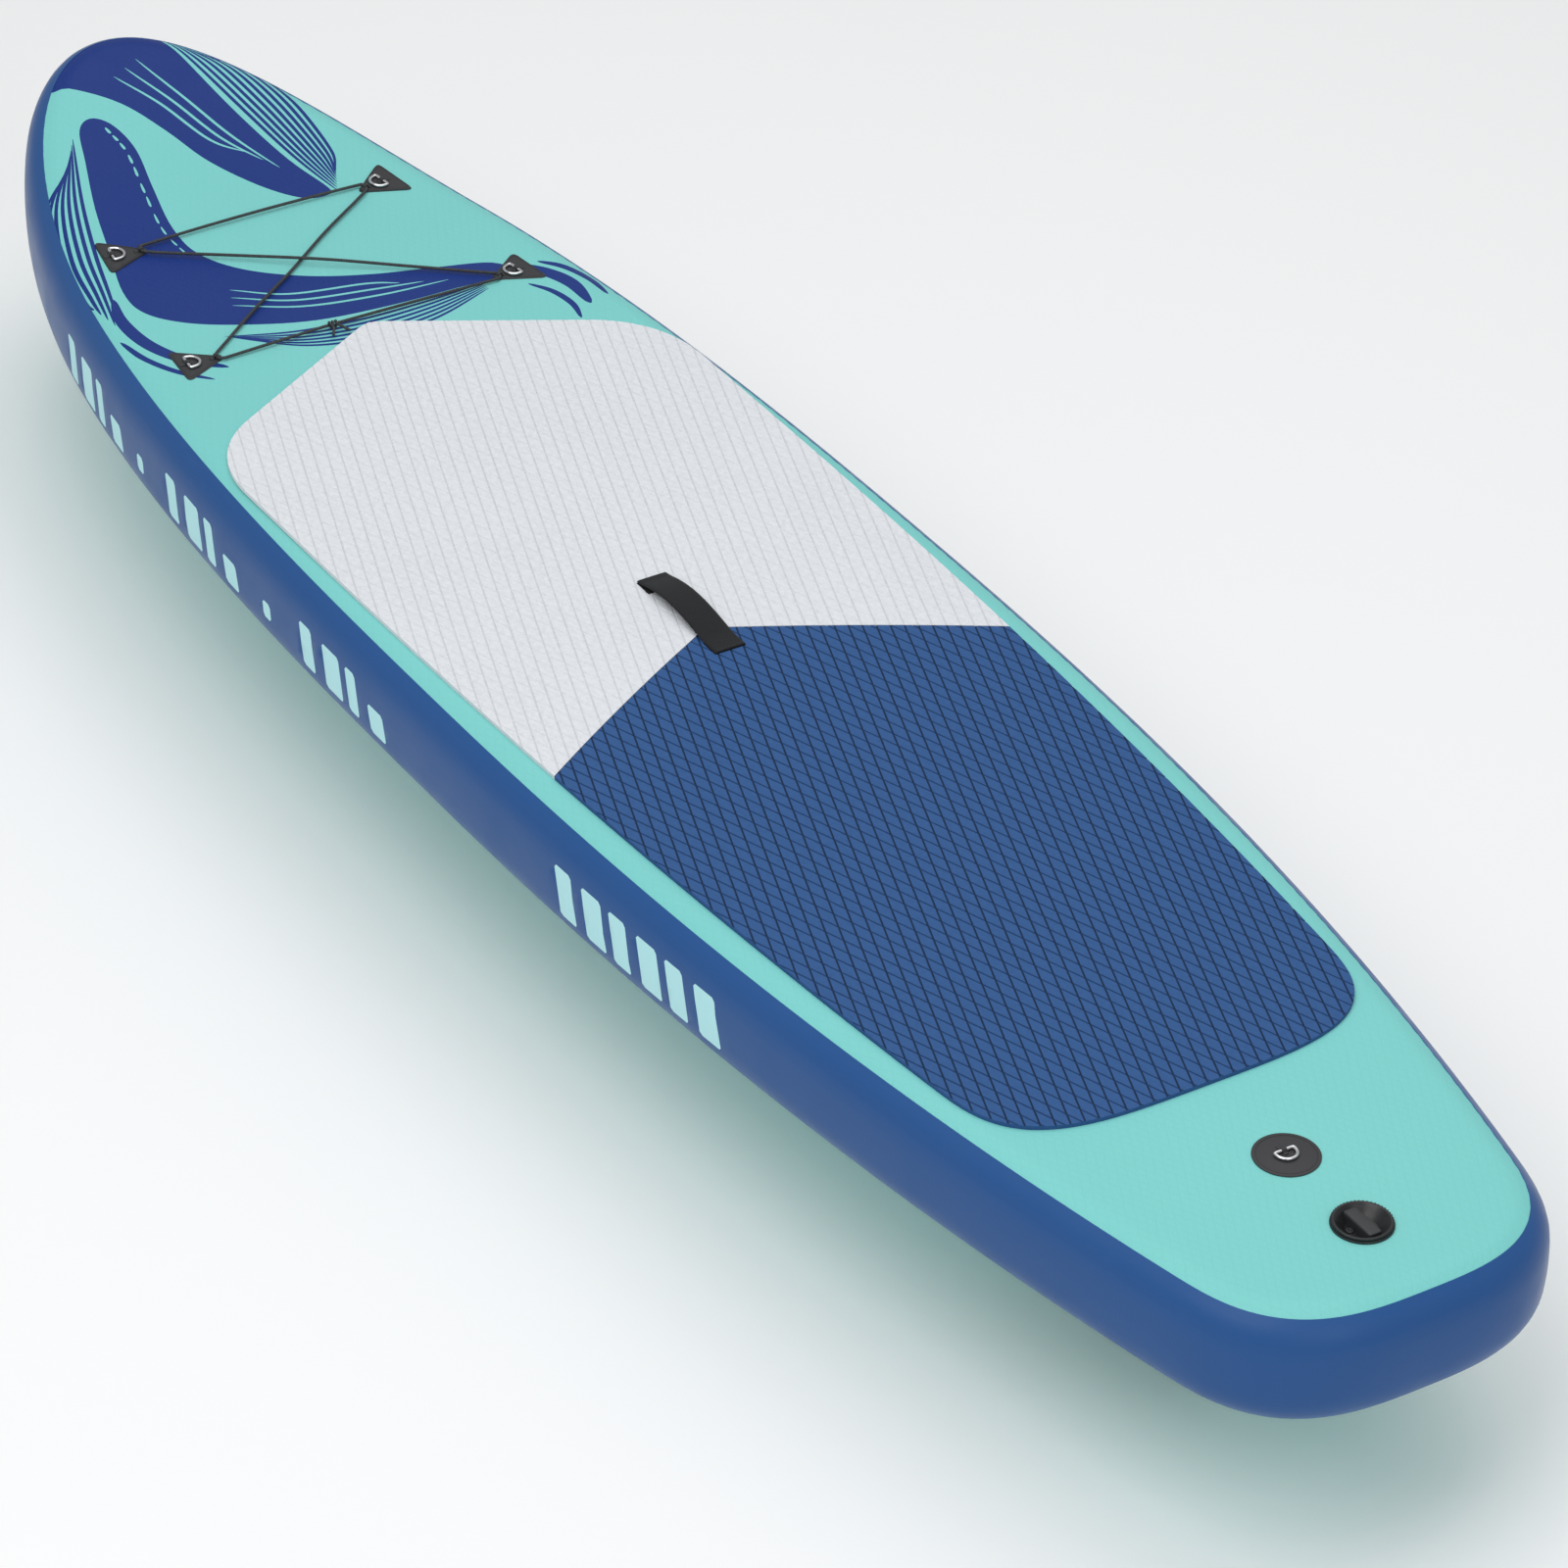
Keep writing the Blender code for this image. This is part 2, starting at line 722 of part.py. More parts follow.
def build_bungee():
    route = through([on_deck(*point) for point in CORD_ROUTE], 2)
    poly_curve("bungee_cord", route, CORD / 2, "webbing", False, 2)
    centre = on_deck(*KNOT)
    lump = bmesh.new()
    bmesh.ops.create_icosphere(lump, subdivisions=2, radius=1)
    lump.transform(Matrix.Diagonal((0.0058, 0.0072, 0.0055, 1)))
    knot = add_mesh("bungee_knot", lump, "webbing", Matrix.Translation(centre))
    tails = bmesh.new()
    for side in (-1, 1):
        turn = Matrix.Rotation(math.radians(90), 4, "Y") @ Matrix.Rotation(side * 0.5, 4, "X")
        end = Matrix.Translation(centre + Vector((-0.013, side * 0.0065, 0.0005)))
        bmesh.ops.create_cone(
            tails,
            cap_ends=True,
            segments=8,
            radius1=CORD / 2,
            radius2=CORD / 2,
            depth=0.02,
            matrix=end @ turn,
        )
    combine(knot, add_mesh("knot_tails_tool", tails, "webbing"), "UNION")


# --- Valve ------------------------------------------------------------------


def build_valve():
    place = Matrix.Translation((VALVE_X, 0, DECK_Z))
    body = [
        (0.0300, 0.0030), (0.0355, 0.0030), (FLANGE_RADIUS, 0.0022), (FLANGE_RADIUS, GAP),
        (THROAT_RADIUS, GAP), (THROAT_RADIUS, -0.0125), (0.0225, -0.0160), (0.0225, -0.0460),
        (0.0165, -0.0460), (0.0165, -0.0130), (0.0232, -0.0130), (0.0232, -0.0098),
    ]
    valve = add_mesh("valve_body", turned(body, 32), "black", place)
    ribs = bmesh.new()
    for i in range(3):
        turn = Matrix.Rotation(math.radians(120 * i), 4, "Z")
        size = Matrix.Diagonal((0.0125, 0.003, 0.004, 1))
        bmesh.ops.create_cube(ribs, size=1, matrix=turn @ Matrix.Translation((0.0120, 0, -0.032)) @ size)
    combine(valve, add_mesh("valve_ribs_tool", ribs, "black", place), "UNION")
    hub = turned([(0.0045, -0.030), (0.0072, -0.030), (0.0072, -0.034), (0.0045, -0.034)], 16)
    combine(valve, add_mesh("valve_hub_tool", hub, "black", place), "UNION")

    inner = THROAT_RADIUS + GAP
    top = -SKIN - GAP
    nut = [(inner, top), (NUT_RADIUS, top), (NUT_RADIUS, -0.0095), (inner, -0.0095)]
    add_mesh("valve_nut", turned(nut, 32), "black", place)

    stem = [
        (0, -0.0145), (0.0068, -0.0145), (0.0075, -0.0152), (0.0075, -0.0172), (0.0040, -0.0172),
        (0.0040, -0.0492), (0.0190, -0.0492), (0.0190, -0.0515), (0, -0.0530),
    ]
    add_mesh("valve_stem", turned(stem, 20), "black", place)
    seal = [(0.0125, -0.0463), (0.0190, -0.0463), (0.0190, -0.0489), (0.0125, -0.0489)]
    add_mesh("valve_seal", turned(seal, 24), "rubber", place)

    turns = 4
    low, high = -0.0300 + GAP + 0.0006, -0.0172 - GAP - 0.0006
    route = []
    for i in range(turns * 10 + 1):
        a = 2 * math.pi * i / 10
        share = min(max((i / (turns * 10) - 0.08) / 0.84, 0), 1)
        route.append(Vector((0.0058 * math.cos(a), 0.0058 * math.sin(a), low + (high - low) * share)))
    poly_curve("valve_spring", route, 0.0006, "steel", False, 0, place)


def build_cap():
    place = Matrix.Translation((VALVE_X, 0, DECK_Z))
    cap = [
        (0, -0.0062), (0.0185, -0.0062), (0.0262, 0.0010), (0.0312, 0.0060), (0.0335, 0.0062),
        (0.0345, 0.0052), (0.0345, 0.0033), (0.0292, 0.0033), (0.0225, -0.0092), (0.0160, -0.0092),
        (0.0160, -0.0125), (0, -0.0125),
    ]
    made = add_mesh("valve_cap", turned(cap, 32), "black", place)
    side_view = [
        (-0.0215, -0.0066), (0.0215, -0.0066), (0.0262, 0.0040),
        (0.0248, 0.0052), (-0.0248, 0.0052), (-0.0262, 0.0040),
    ]
    grip = prism(side_view, -0.00875, 0.00875)
    grip.transform(Matrix.Rotation(math.radians(90), 4, "X"))
    combine(made, add_mesh("cap_grip_tool", grip, "black", place), "UNION")
    seal = [(0.0163, -0.0095), (0.0222, -0.0095), (0.0222, -0.0127), (0.0163, -0.0127)]
    add_mesh("cap_seal", turned(seal, 24), "rubber", place)


# --- Fins -------------------------------------------------------------------


def fin_section(chord_front, chord_back, thickness, z):
    """A thin foil section at one height, sharp at its back edge."""
    shares = ((0.0, 0.12), (0.08, 0.62), (0.30, 1.0), (0.62, 0.72), (1.0, 0.12))
    upper = []
    for share, swell in shares:
        x = chord_front + (chord_back - chord_front) * share
        upper.append((x, thickness / 2 * swell, z))
    return upper + [(x, -y, z) for x, y, z in reversed(upper)]


def fin_blade(chord, reach, rake, thickness, steps):
    """A raked blade that hangs from z = 0, with its base centred on x = 0."""
    bm = bmesh.new()
    rings = []
    for i in range(steps + 1):
        t = i / steps
        front = chord / 2 - rake * t**1.6 - chord * 0.30 * t**3
        back = -chord / 2 - rake * 0.42 * t**1.2 + chord * 0.10 * math.sin(math.pi * t) - chord * 0.02 * t**4
        section = fin_section(front, back, thickness * (1 - 0.55 * t), -reach * t)
        rings.append([bm.verts.new(point) for point in section])
    join_rings(bm, rings, closed=False)
    bm.faces.new(rings[0])
    bm.faces.new(rings[-1][::-1])
    return bm


def build_fin_box():
    place = Matrix.Translation((BOX_X, 0, BOTTOM_Z))
    flange = prism(stadium(BOX_LENGTH + 0.05, 0.09, 6), -GAP - 0.0025, -GAP)
    box = add_mesh("fin_box", flange, "black", place)
    trunk = prism(stadium(BOX_LENGTH, BOX_WIDTH, 6), -BOX_DEPTH, -GAP - 0.001)
    combine(box, add_mesh("fin_trunk_tool", trunk, "black", place), "UNION")
    slot = block((SLOT_LENGTH, SLOT_WIDTH, 0.030), (0, 0, SLOT_TOP - 0.015))
    combine(box, add_mesh("fin_slot_tool", slot, "black", place), "DIFFERENCE")
    track_size = (SLOT_LENGTH, TRACK_WIDTH, TRACK_TOP - TRACK_BOTTOM)
    track = block(track_size, (0, 0, (TRACK_TOP + TRACK_BOTTOM) / 2))
    combine(box, add_mesh("fin_track_tool", track, "black", place), "DIFFERENCE")


def stadium(length, width, steps):
    """An outline with two straight sides and round ends."""
    radius = width / 2
    reach = length / 2 - radius
    points = []
    for centre, first in ((reach, -90), (-reach, 90)):
        for i in range(steps + 1):
            a = math.radians(first + 180 * i / steps)
            points.append((centre + radius * math.cos(a), radius * math.sin(a)))
    return points


def fin_place():
    """The middle of the fin's tongue, on the board's bottom."""
    return Matrix.Translation((BOX_X - 0.013, 0, BOTTOM_Z))


def screw_x():
    return TONGUE_LENGTH / 2 + TAB_LENGTH / 2


def build_centre_fin():
    place = fin_place()
    width = SLOT_WIDTH - 0.0012
    below = -BOX_DEPTH - 0.0006
    overlap = 0.002
    blade = fin_blade(TONGUE_LENGTH, FIN_REACH + below, 0.085, 0.0085, 10)
    fin = add_mesh("centre_fin", blade, "fin", place @ Matrix.Translation((0, 0, below)))
    height = TONGUE_DEPTH + overlap + 0.0006
    tongue = block((TONGUE_LENGTH, width, height), (0, 0, below - overlap + height / 2))
    combine(fin, add_mesh("fin_tongue_tool", tongue, "fin", place), "UNION")
    tab = block((TAB_LENGTH + overlap, width, 0.008), (screw_x() - overlap / 2, 0, below - overlap + 0.004))
    combine(fin, add_mesh("fin_tab_tool", tab, "fin", place), "UNION")
    bore = disc(0.0026, -0.05, 0.01, 12)
    at_screw = place @ Matrix.Translation((screw_x(), 0, 0))
    combine(fin, add_mesh("fin_bore_tool", bore, "fin", at_screw), "DIFFERENCE")
    at_pin = place @ Matrix.Translation((-0.066, 0, -0.0088)) @ Matrix.Rotation(math.radians(90), 4, "X")
    hole = disc(0.0025, -0.02, 0.02, 12)
    combine(fin, add_mesh("fin_pin_hole_tool", hole, "fin", at_pin), "DIFFERENCE")
    add_mesh("fin_pin", disc(0.0022, -0.0092, 0.0092, 12), "brass", at_pin)


def build_fin_screw():
    """The screw clamps the fin's front tab to a square nut in the box's track."""
    place = fin_place() @ Matrix.Translation((screw_x(), 0, 0))
    head_top = -BOX_DEPTH - 0.0026 - GAP
    end = TRACK_TOP - 0.0001
    profile = [
        (0, end), (SCREW_RADIUS, end), (SCREW_RADIUS, head_top), (0.0065, head_top),
        (0.0065, head_top - 0.0080), (0.0060, head_top - 0.0090), (0, head_top - 0.0090),
    ]
    add_mesh("fin_screw", turned(profile, 16), "steel", place)
    seat = TRACK_BOTTOM + GAP + NUT_THICKNESS / 2
    nut = add_mesh("fin_nut", block((0.012, 0.018, NUT_THICKNESS), (0, 0, seat)), "brass", place)
    hole = disc(SCREW_RADIUS + GAP, -0.02, 0.0, 12)
    combine(nut, add_mesh("nut_hole_tool", hole, "brass", place), "DIFFERENCE")


def build_side_fins():
    for side, sign in (("left", 1), ("right", -1)):
        place = Matrix.Translation((SIDE_FIN_X, sign * SIDE_FIN_Y, BOTTOM_Z))
        plate = prism(stadium(0.150, 0.046, 6), -GAP - 0.0030, -GAP)
        add_mesh(f"side_fin_base_{side}", plate, "black", place)
        low = -2 * GAP - 0.0030
        blade = fin_blade(0.115, SIDE_FIN_REACH + low, 0.055, 0.0075, 6)
        add_mesh(f"side_fin_{side}", blade, "fin", place @ Matrix.Translation((0, 0, low)))


def main():
    clear_scene()
    material("turquoise", TURQUOISE, 0.45)
    material("blue", BLUE, 0.4)
    material("pad_blue", PAD_BLUE, 0.85)
    material("pad_grey", PAD_GREY, 0.85)
    material("core", CORE_WHITE, 0.9)
    material("patch", DARK_GREY, 0.5)
    material("black", BLACK, 0.45)
    material("webbing", BLACK, 0.85)
    material("rubber", BLACK, 0.8)
    material("fin", BLACK, 0.35)
    material("steel", STEEL, 0.15, 1.0)
    material("brass", BRASS, 0.3, 1.0)
    build_hull()
    build_core()
    build_pads()
    build_handle()
    build_bungee_patches()
    build_bungee()
    build_leash_ring()
    build_valve()
    build_cap()
    build_fin_box()
    build_centre_fin()
    build_fin_screw()
    build_side_fins()


main()
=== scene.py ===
"""Looks of an inflatable stand up paddleboard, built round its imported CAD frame.

Metres, +X to the nose, +Y to the board's left side, +Z up.
"""

from math import atan, atan2, ceil, cos, copysign, floor, pi, radians, sin, sqrt

import bmesh
import bpy
import numpy as np
from mathutils import Matrix, Vector
from mathutils.geometry import delaunay_2d_cdt


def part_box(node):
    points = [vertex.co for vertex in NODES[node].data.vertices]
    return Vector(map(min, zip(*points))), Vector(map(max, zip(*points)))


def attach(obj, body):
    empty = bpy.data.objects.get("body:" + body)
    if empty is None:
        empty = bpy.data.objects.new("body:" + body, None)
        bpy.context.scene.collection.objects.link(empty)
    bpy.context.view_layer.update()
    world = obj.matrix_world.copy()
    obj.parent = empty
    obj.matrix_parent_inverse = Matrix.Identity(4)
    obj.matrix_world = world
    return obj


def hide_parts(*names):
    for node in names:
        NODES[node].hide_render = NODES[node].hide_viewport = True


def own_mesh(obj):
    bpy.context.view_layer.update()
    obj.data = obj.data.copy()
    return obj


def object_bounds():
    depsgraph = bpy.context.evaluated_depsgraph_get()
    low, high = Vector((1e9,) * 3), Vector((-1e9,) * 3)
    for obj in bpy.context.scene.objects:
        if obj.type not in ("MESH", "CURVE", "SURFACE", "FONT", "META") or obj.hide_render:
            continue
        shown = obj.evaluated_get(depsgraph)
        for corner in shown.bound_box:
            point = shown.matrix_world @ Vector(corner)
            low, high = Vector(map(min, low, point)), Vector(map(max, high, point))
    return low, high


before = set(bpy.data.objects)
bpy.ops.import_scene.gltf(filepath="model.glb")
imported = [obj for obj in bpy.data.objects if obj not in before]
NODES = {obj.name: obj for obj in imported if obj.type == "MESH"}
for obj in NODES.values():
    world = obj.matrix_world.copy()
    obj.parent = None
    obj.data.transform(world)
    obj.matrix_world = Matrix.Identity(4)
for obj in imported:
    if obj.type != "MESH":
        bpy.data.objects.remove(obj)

CAD_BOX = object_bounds()

# The hull's driving sizes, read from the frame or shared with it
BOTTOM_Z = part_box("bottom_skin")[0].z
DECK_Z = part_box("leash_patch")[0].z - 0.0003
THICKNESS = DECK_Z - BOTTOM_Z
HALF = CAD_BOX[1].x
HALF_WIDTH = CAD_BOX[1].y
EDGE_RADIUS = 0.049
COLOUR_LINE = 31.0
ROCKER = 0.308
ROCKER_START = 0.99
NOSE_POWER = 2.6
NOSE_BLUNT = 0.49
TAIL_TAPER = 0.18
TAIL_POWER = 2.25
TAIL_CORNER = 0.175
SKIN = 0.0012
VALVE_HOLE = 0.0305

# Points that are closer than this count as one
SAME = 1e-7

# Deck pads
PAD_LOW = DECK_Z + 0.0001
PAD_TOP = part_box("front_pad")[1].z
PAD_HALF = 0.335
PAD_WIDEST = 0.4
PAD_TAPER = 0.102
PAD_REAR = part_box("rear_pad")[0].x
PAD_CORNER = 0.164
PAD_APEX = 0.785
PAD_SWEEP = 0.545
SPLIT_APEX = -0.042
PAD_GAP = 0.0012
DIAMOND_LENGTH = 0.0495
DIAMOND_WIDTH = 0.018
GROOVE = 0.0024
GROOVE_DEPTH = 0.0013


def middle_x(name):
    """The middle of a node's box along the board."""
    low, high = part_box(name)
    return (low.x + high.x) / 2


VALVE_X = middle_x("valve_body")
BOX_X = middle_x("fin_box")


# --- Camera ---


def added(name, data):
    """A new object of the scene."""
    obj = bpy.data.objects.new(name, data)
    bpy.context.scene.collection.objects.link(obj)
    return obj


def make_camera():
    data = bpy.data.cameras.new("camera")
    camera = added("camera", data)
    right = Vector((-0.5378, -0.8424, 0.034))
    up = Vector((0.4925, -0.2812, 0.8236))
    back = right.cross(up).normalized()
    up = back.cross(right)
    place = Matrix((right, up, back)).transposed().to_4x4()
    place.translation = Vector((-5.97, 3.8695, 5.0321))
    camera.matrix_world = place
    data.sensor_width = 36.0
    data.lens = 160.4
    data.shift_x = 0.0041
    data.shift_y = -0.0137
    data.clip_end = 60.0
    bpy.context.scene.camera = camera


make_camera()
bpy.context.scene.view_settings.view_transform = "Standard"


# --- Node materials ---


def srgb(red, green, blue):
    """A linear colour from 0 to 255 screen values."""
    parts = (value / 255 for value in (red, green, blue))
    return (*(v / 12.92 if v <= 0.04045 else ((v + 0.055) / 1.055) ** 2.4 for v in parts), 1.0)


def shade(colour, share, lift=0.0):
    """The colour made lighter or darker."""
    return (*(min(c * share + lift, 1.0) for c in colour[:3]), 1.0)


class Shader:
    """A node material in the making, with the mesh's own coordinates in metres."""

    def __init__(self, name, roughness=0.5, metallic=0.0, specular=0.5):
        self.material = bpy.data.materials.new(name)
        self.material.use_nodes = True
        self.tree = self.material.node_tree
        self.surface = self.tree.nodes["Principled BSDF"]
        starts = {"Roughness": roughness, "Metallic": metallic, "Specular IOR Level": specular}
        for name, value in starts.items():
            self.surface.inputs[name].default_value = value
        self.place = self.tree.nodes.new("ShaderNodeTexCoord").outputs["Object"]
        self.relief = None

    def node(self, kind, inputs, output=0, **settings):
        """Adds a node with values or links for its inputs, and gives one of its outputs."""
        made = self.tree.nodes.new(kind)
        for name, value in settings.items():
            setattr(made, name, value)
        for name, value in inputs.items():
            self.link(value, made.inputs[name])
        return made.outputs[output]

    def link(self, source, target):
        if isinstance(source, (int, float, tuple)):
            target.default_value = source
        else:
            self.tree.links.new(source, target)

    def times(self, first, second):
        return self.maths("MULTIPLY", first, second)

    def maths(self, operation, first, second):
        return self.node("ShaderNodeMath", {0: first, 1: second}, operation=operation)

    def mapped(self, scale=(1, 1, 1), turn=0):
        inputs = {"Vector": self.place, "Scale": scale, "Rotation": (0, 0, radians(turn))}
        return self.node("ShaderNodeMapping", inputs)

    def noise(self, scale, detail=2.0, rough=0.5, vector=None):
        inputs = {"Vector": vector or self.place, "Scale": scale, "Detail": detail, "Roughness": rough}
        return self.node("ShaderNodeTexNoise", inputs, "Fac")

    def waves(self, pitch, turn=0):
        """Even waves across X, pitch metres apart, turned about Z by degrees."""
        inputs = {"Vector": self.mapped(turn=turn), "Scale": pi / (10 * pitch), "Distortion": 0.0}
        return self.node("ShaderNodeTexWave", inputs, "Fac", bands_direction="X", wave_profile="SIN")

    def cells(self, scale):
        inputs = {"Vector": self.place, "Scale": scale}
        return self.node("ShaderNodeTexVoronoi", inputs, "Distance", feature="F1")

    def blend(self, share, first, second):
        return self.node("ShaderNodeMix", {"Factor": share, 6: first, 7: second}, 2, data_type="RGBA")

    def span(self, value, low, high, to_low=0.0, to_high=1.0):
        ends = {"From Min": low, "From Max": high, "To Min": to_low, "To Max": to_high}
        return self.node("ShaderNodeMapRange", {"Value": value, **ends}, "Result")

    def colour(self, value):
        self.link(value, self.surface.inputs["Base Color"])

    def roughness(self, value):
        self.link(value, self.surface.inputs["Roughness"])

    def bump(self, height, depth, strength=1.0):
        """Adds relief this many metres deep to what is there already."""
        inputs = {"Distance": depth, "Strength": strength, "Height": height}
        if self.relief is not None:
            inputs["Normal"] = self.relief
        self.relief = self.node("ShaderNodeBump", inputs, "Normal")
        self.link(self.relief, self.surface.inputs["Normal"])

    def varied(self, colour, share=0.06, scale=3.0):
        """The colour, a little lighter and darker in soft patches."""
        return self.blend(self.noise(scale, 3.0), shade(colour, 1 - share), shade(colour, 1 + share))


def coated_cloth(name, colour, roughness=0.42, emboss=0.0, scuffs=0.1, specular=0.28):
    """PVC on woven cloth: faint weave, an embossed diamond on the deck, light scuffs."""
    made = Shader(name, roughness, specular=specular)
    base = made.varied(colour, 0.035, 2.2)
    fine = made.noise(260.0, 2.0)
    weave = made.times(made.waves(0.0016, 45), made.waves(0.0016, -45))
    if emboss:
        ridges = [made.span(made.waves(0.0105, turn), 0.8, 0.97) for turn in (62, -62)]
        cells = made.maths("MAXIMUM", *ridges)
        base = made.blend(made.times(cells, 0.15), base, shade(colour, 0.9))
        made.bump(made.maths("SUBTRACT", 1.0, cells), 0.0003, emboss)
    marks = made.span(made.noise(9.0, 6.0, 0.7, made.mapped((1, 7, 3))), 0.62, 0.72)
    made.colour(made.blend(made.times(marks, scuffs), base, shade(colour, 1.25, 0.03)))
    made.roughness(made.span(made.noise(14.0, 4.0), 0.25, 0.75, roughness - 0.06, roughness + 0.08))
    made.bump(weave, 0.00012, 0.35)
    made.bump(fine, 0.00008, 0.25)
    made.bump(made.noise(5.0, 2.0), 0.0012, 0.2)
    return made.material


def foam(name, colour, share=1.0):
    """Closed cell foam with a brushed skin of fine pores."""
    made = Shader(name, 0.86, specular=0.15)
    # A share below 1 darkens the whole foam; the groove foams use it for painted shade.
    colour = shade(colour, share)
    base = made.varied(colour, 0.05, 6.0)
    speck = made.span(made.noise(700.0, 2.0), 0.35, 0.7)
    base = made.blend(made.times(speck, 0.35), base, shade(colour, 0.86))
    mottle = made.span(made.noise(170.0, 5.0, 0.62, made.mapped((0.7, 1.0, 1.0))), 0.36, 0.66)
    made.colour(made.blend(made.times(mottle, 0.8), base, shade(colour, 1.1, 0.002)))
    made.bump(made.cells(900.0), 0.00025, 0.35)
    made.bump(mottle, 0.0005, 0.45)
    made.bump(made.noise(60.0, 4.0), 0.0003, 0.3)
    made.surface.inputs["Sheen Weight"].default_value = 0.04
    return made.material


def webbing(name, colour):
    """Close woven tape: ribs across it and fine yarns along it."""
    made = Shader(name, 0.78, specular=0.2)
    ribs = made.waves(0.0022)
    yarns = made.waves(0.0011, 90)
    twill = made.waves(0.003, 38)
    weave = made.times(made.maths("MAXIMUM", ribs, yarns), made.span(twill, 0, 1, 0.6, 1.0))
    pale = shade(colour, 1.9, 0.004)
    made.colour(made.blend(made.times(weave, 0.55), made.varied(colour, 0.15, 40.0), pale))
    made.bump(weave, 0.0004, 0.7)
    made.bump(made.noise(900.0, 2.0), 0.0001, 0.4)
    made.surface.inputs["Sheen Weight"].default_value = 0.06
    return made.material


def braid(name, colour):
    """A cord's sheath of crossing yarns, with the odd lighter thread."""
    made = Shader(name, 0.72, specular=0.35)
    cells = made.cells(780.0)
    made.colour(made.blend(made.span(cells, 0.1, 0.6), colour, srgb(70, 72, 74)))
    made.bump(cells, 0.0005, 0.8)
    return made.material


def moulded(name, colour, roughness=0.42, grain=0.35):
    """Moulded plastic with a fine spark-eroded grain and rubbed patches."""
    made = Shader(name, roughness, specular=0.45)
    made.colour(made.varied(colour, 0.1, 45.0))
    made.roughness(made.span(made.noise(70.0, 4.0), 0.3, 0.7, roughness - 0.08, roughness + 0.1))
    made.bump(made.noise(1600.0, 2.0), 0.00006, grain)
    made.bump(made.noise(240.0, 3.0), 0.0001, grain)
    return made.material


def polished(name, colour, roughness=0.16):
    """Bright metal with hairline scratches and a trace of tarnish."""
    made = Shader(name, roughness, 1.0)
    tarnish = made.span(made.noise(180.0, 5.0, 0.65), 0.52, 0.75)
    made.colour(made.blend(made.times(tarnish, 0.5), colour, shade(colour, 0.72)))
    lines = made.noise(300.0, 3.0, 0.6, made.mapped((1, 22, 1)))
    made.roughness(made.span(lines, 0.3, 0.75, roughness - 0.05, roughness + 0.12))
    made.bump(lines, 0.00002, 0.25)
    return made.material


def woven_cloth(name, colour):
    """Plain open cloth."""
    made = Shader(name, 0.85, specular=0.2)
    weave = made.times(made.waves(0.003), made.waves(0.003, 90))
    made.colour(made.blend(weave, shade(colour, 0.8), colour))
    made.bump(weave, 0.0004, 0.6)
    return made.material


TURQUOISE = srgb(126, 208, 204)
NAVY = srgb(13, 49, 126)
RAIL_BLUE = srgb(43, 86, 144)
PALE = srgb(184, 236, 240)
BLUE_FOAM = srgb(51, 88, 140)
GREY_FOAM = srgb(220, 223, 227)
PATCH_GREY = srgb(58, 58, 60)
BLACK = srgb(26, 27, 29)

M = {
    "deck": coated_cloth("deck_turquoise", TURQUOISE, 0.46, emboss=0.3),
    "print_navy": coated_cloth("print_navy", NAVY, 0.44, emboss=0.3),
    "rail": coated_cloth("rail_blue", RAIL_BLUE, 0.34, scuffs=0.12, specular=0.18),
    "print_pale": coated_cloth("print_pale", PALE, 0.42, scuffs=0.05),
    "bottom": coated_cloth("bottom_turquoise", TURQUOISE, 0.4, scuffs=0.3),
    "patch": coated_cloth("patch_grey", PATCH_GREY, 0.5, scuffs=0.25),
    "front_foam": foam("front_foam", GREY_FOAM),
    # Painted shade: the groove foams are the pad foams made darker, for the shade in the pads' grooves.
    "front_groove": foam("front_groove", GREY_FOAM, 0.88),
    "rear_foam": foam("rear_foam", BLUE_FOAM),
    "rear_groove": foam("rear_groove", BLUE_FOAM, 0.38),
    # Painted shade too, lighter: the grooves that run the other way, which face the light more.
    "front_cross": foam("front_cross", GREY_FOAM, 0.94),
    "rear_cross": foam("rear_cross", BLUE_FOAM, 0.6),
    "strap": webbing("strap_webbing", BLACK),
    "stitch": braid("stitch_thread", srgb(52, 53, 56)),
    "cord": braid("cord_sheath", srgb(22, 22, 24)),
    "plastic": moulded("black_plastic", srgb(38, 39, 41), 0.4),
    "cap": moulded("cap_plastic", srgb(30, 31, 33), 0.34),
    "grip": moulded("grip_plastic", srgb(48, 49, 51), 0.42),
    "rubber": moulded("seal_rubber", srgb(26, 26, 26), 0.7),
    "fin": moulded("fin_plastic", srgb(28, 30, 34), 0.26, 0.15),
    "steel": polished("ring_steel", (0.8, 0.8, 0.82, 1.0), 0.12),
    "spring": polished("spring_steel", (0.62, 0.62, 0.64, 1.0), 0.25),
    "brass": polished("brass", (0.78, 0.57, 0.24, 1.0), 0.22),
    "core": woven_cloth("core_cloth", (0.8, 0.8, 0.74, 1.0)),
}


# The record's slot that a piece of each material belongs to
SLOTS = {
    "patch": "patch_pvc", "strap": "webbing", "stitch": "webbing", "cord": "cord_sheath",
    "plastic": "black_plastic", "cap": "black_plastic", "grip": "black_plastic",
    "fin": "fin_plastic", "steel": "ring_steel", "spring": "spring_steel",
}


# --- Mesh tools ---


def dressed(name, mesh, materials, smooth):
    """The mesh as an object with these materials, sharp where it bends more than smooth degrees."""
    mesh.shade_smooth()
    mesh.set_sharp_from_angle(angle=radians(smooth))
    for key in materials:
        mesh.materials.append(M[key])
    return added(name, mesh)


def add_mesh(name, bm, materials, place=None, smooth=35):
    bmesh.ops.recalc_face_normals(bm, faces=bm.faces)
    if bm.calc_volume(signed=True) < 0:
        bmesh.ops.reverse_faces(bm, faces=bm.faces)
    mesh = bpy.data.meshes.new(name)
    if place is not None:
        bm.transform(place)
    bm.to_mesh(mesh)
    bm.free()
    return dressed(name, mesh, materials, smooth)


def stands_for(obj, body, slot, *nodes):
    """The piece rides on a body and hides the nodes it stands for; the slot argument is not used."""
    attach(obj, body)
    if nodes:
        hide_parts(*nodes)
    return obj


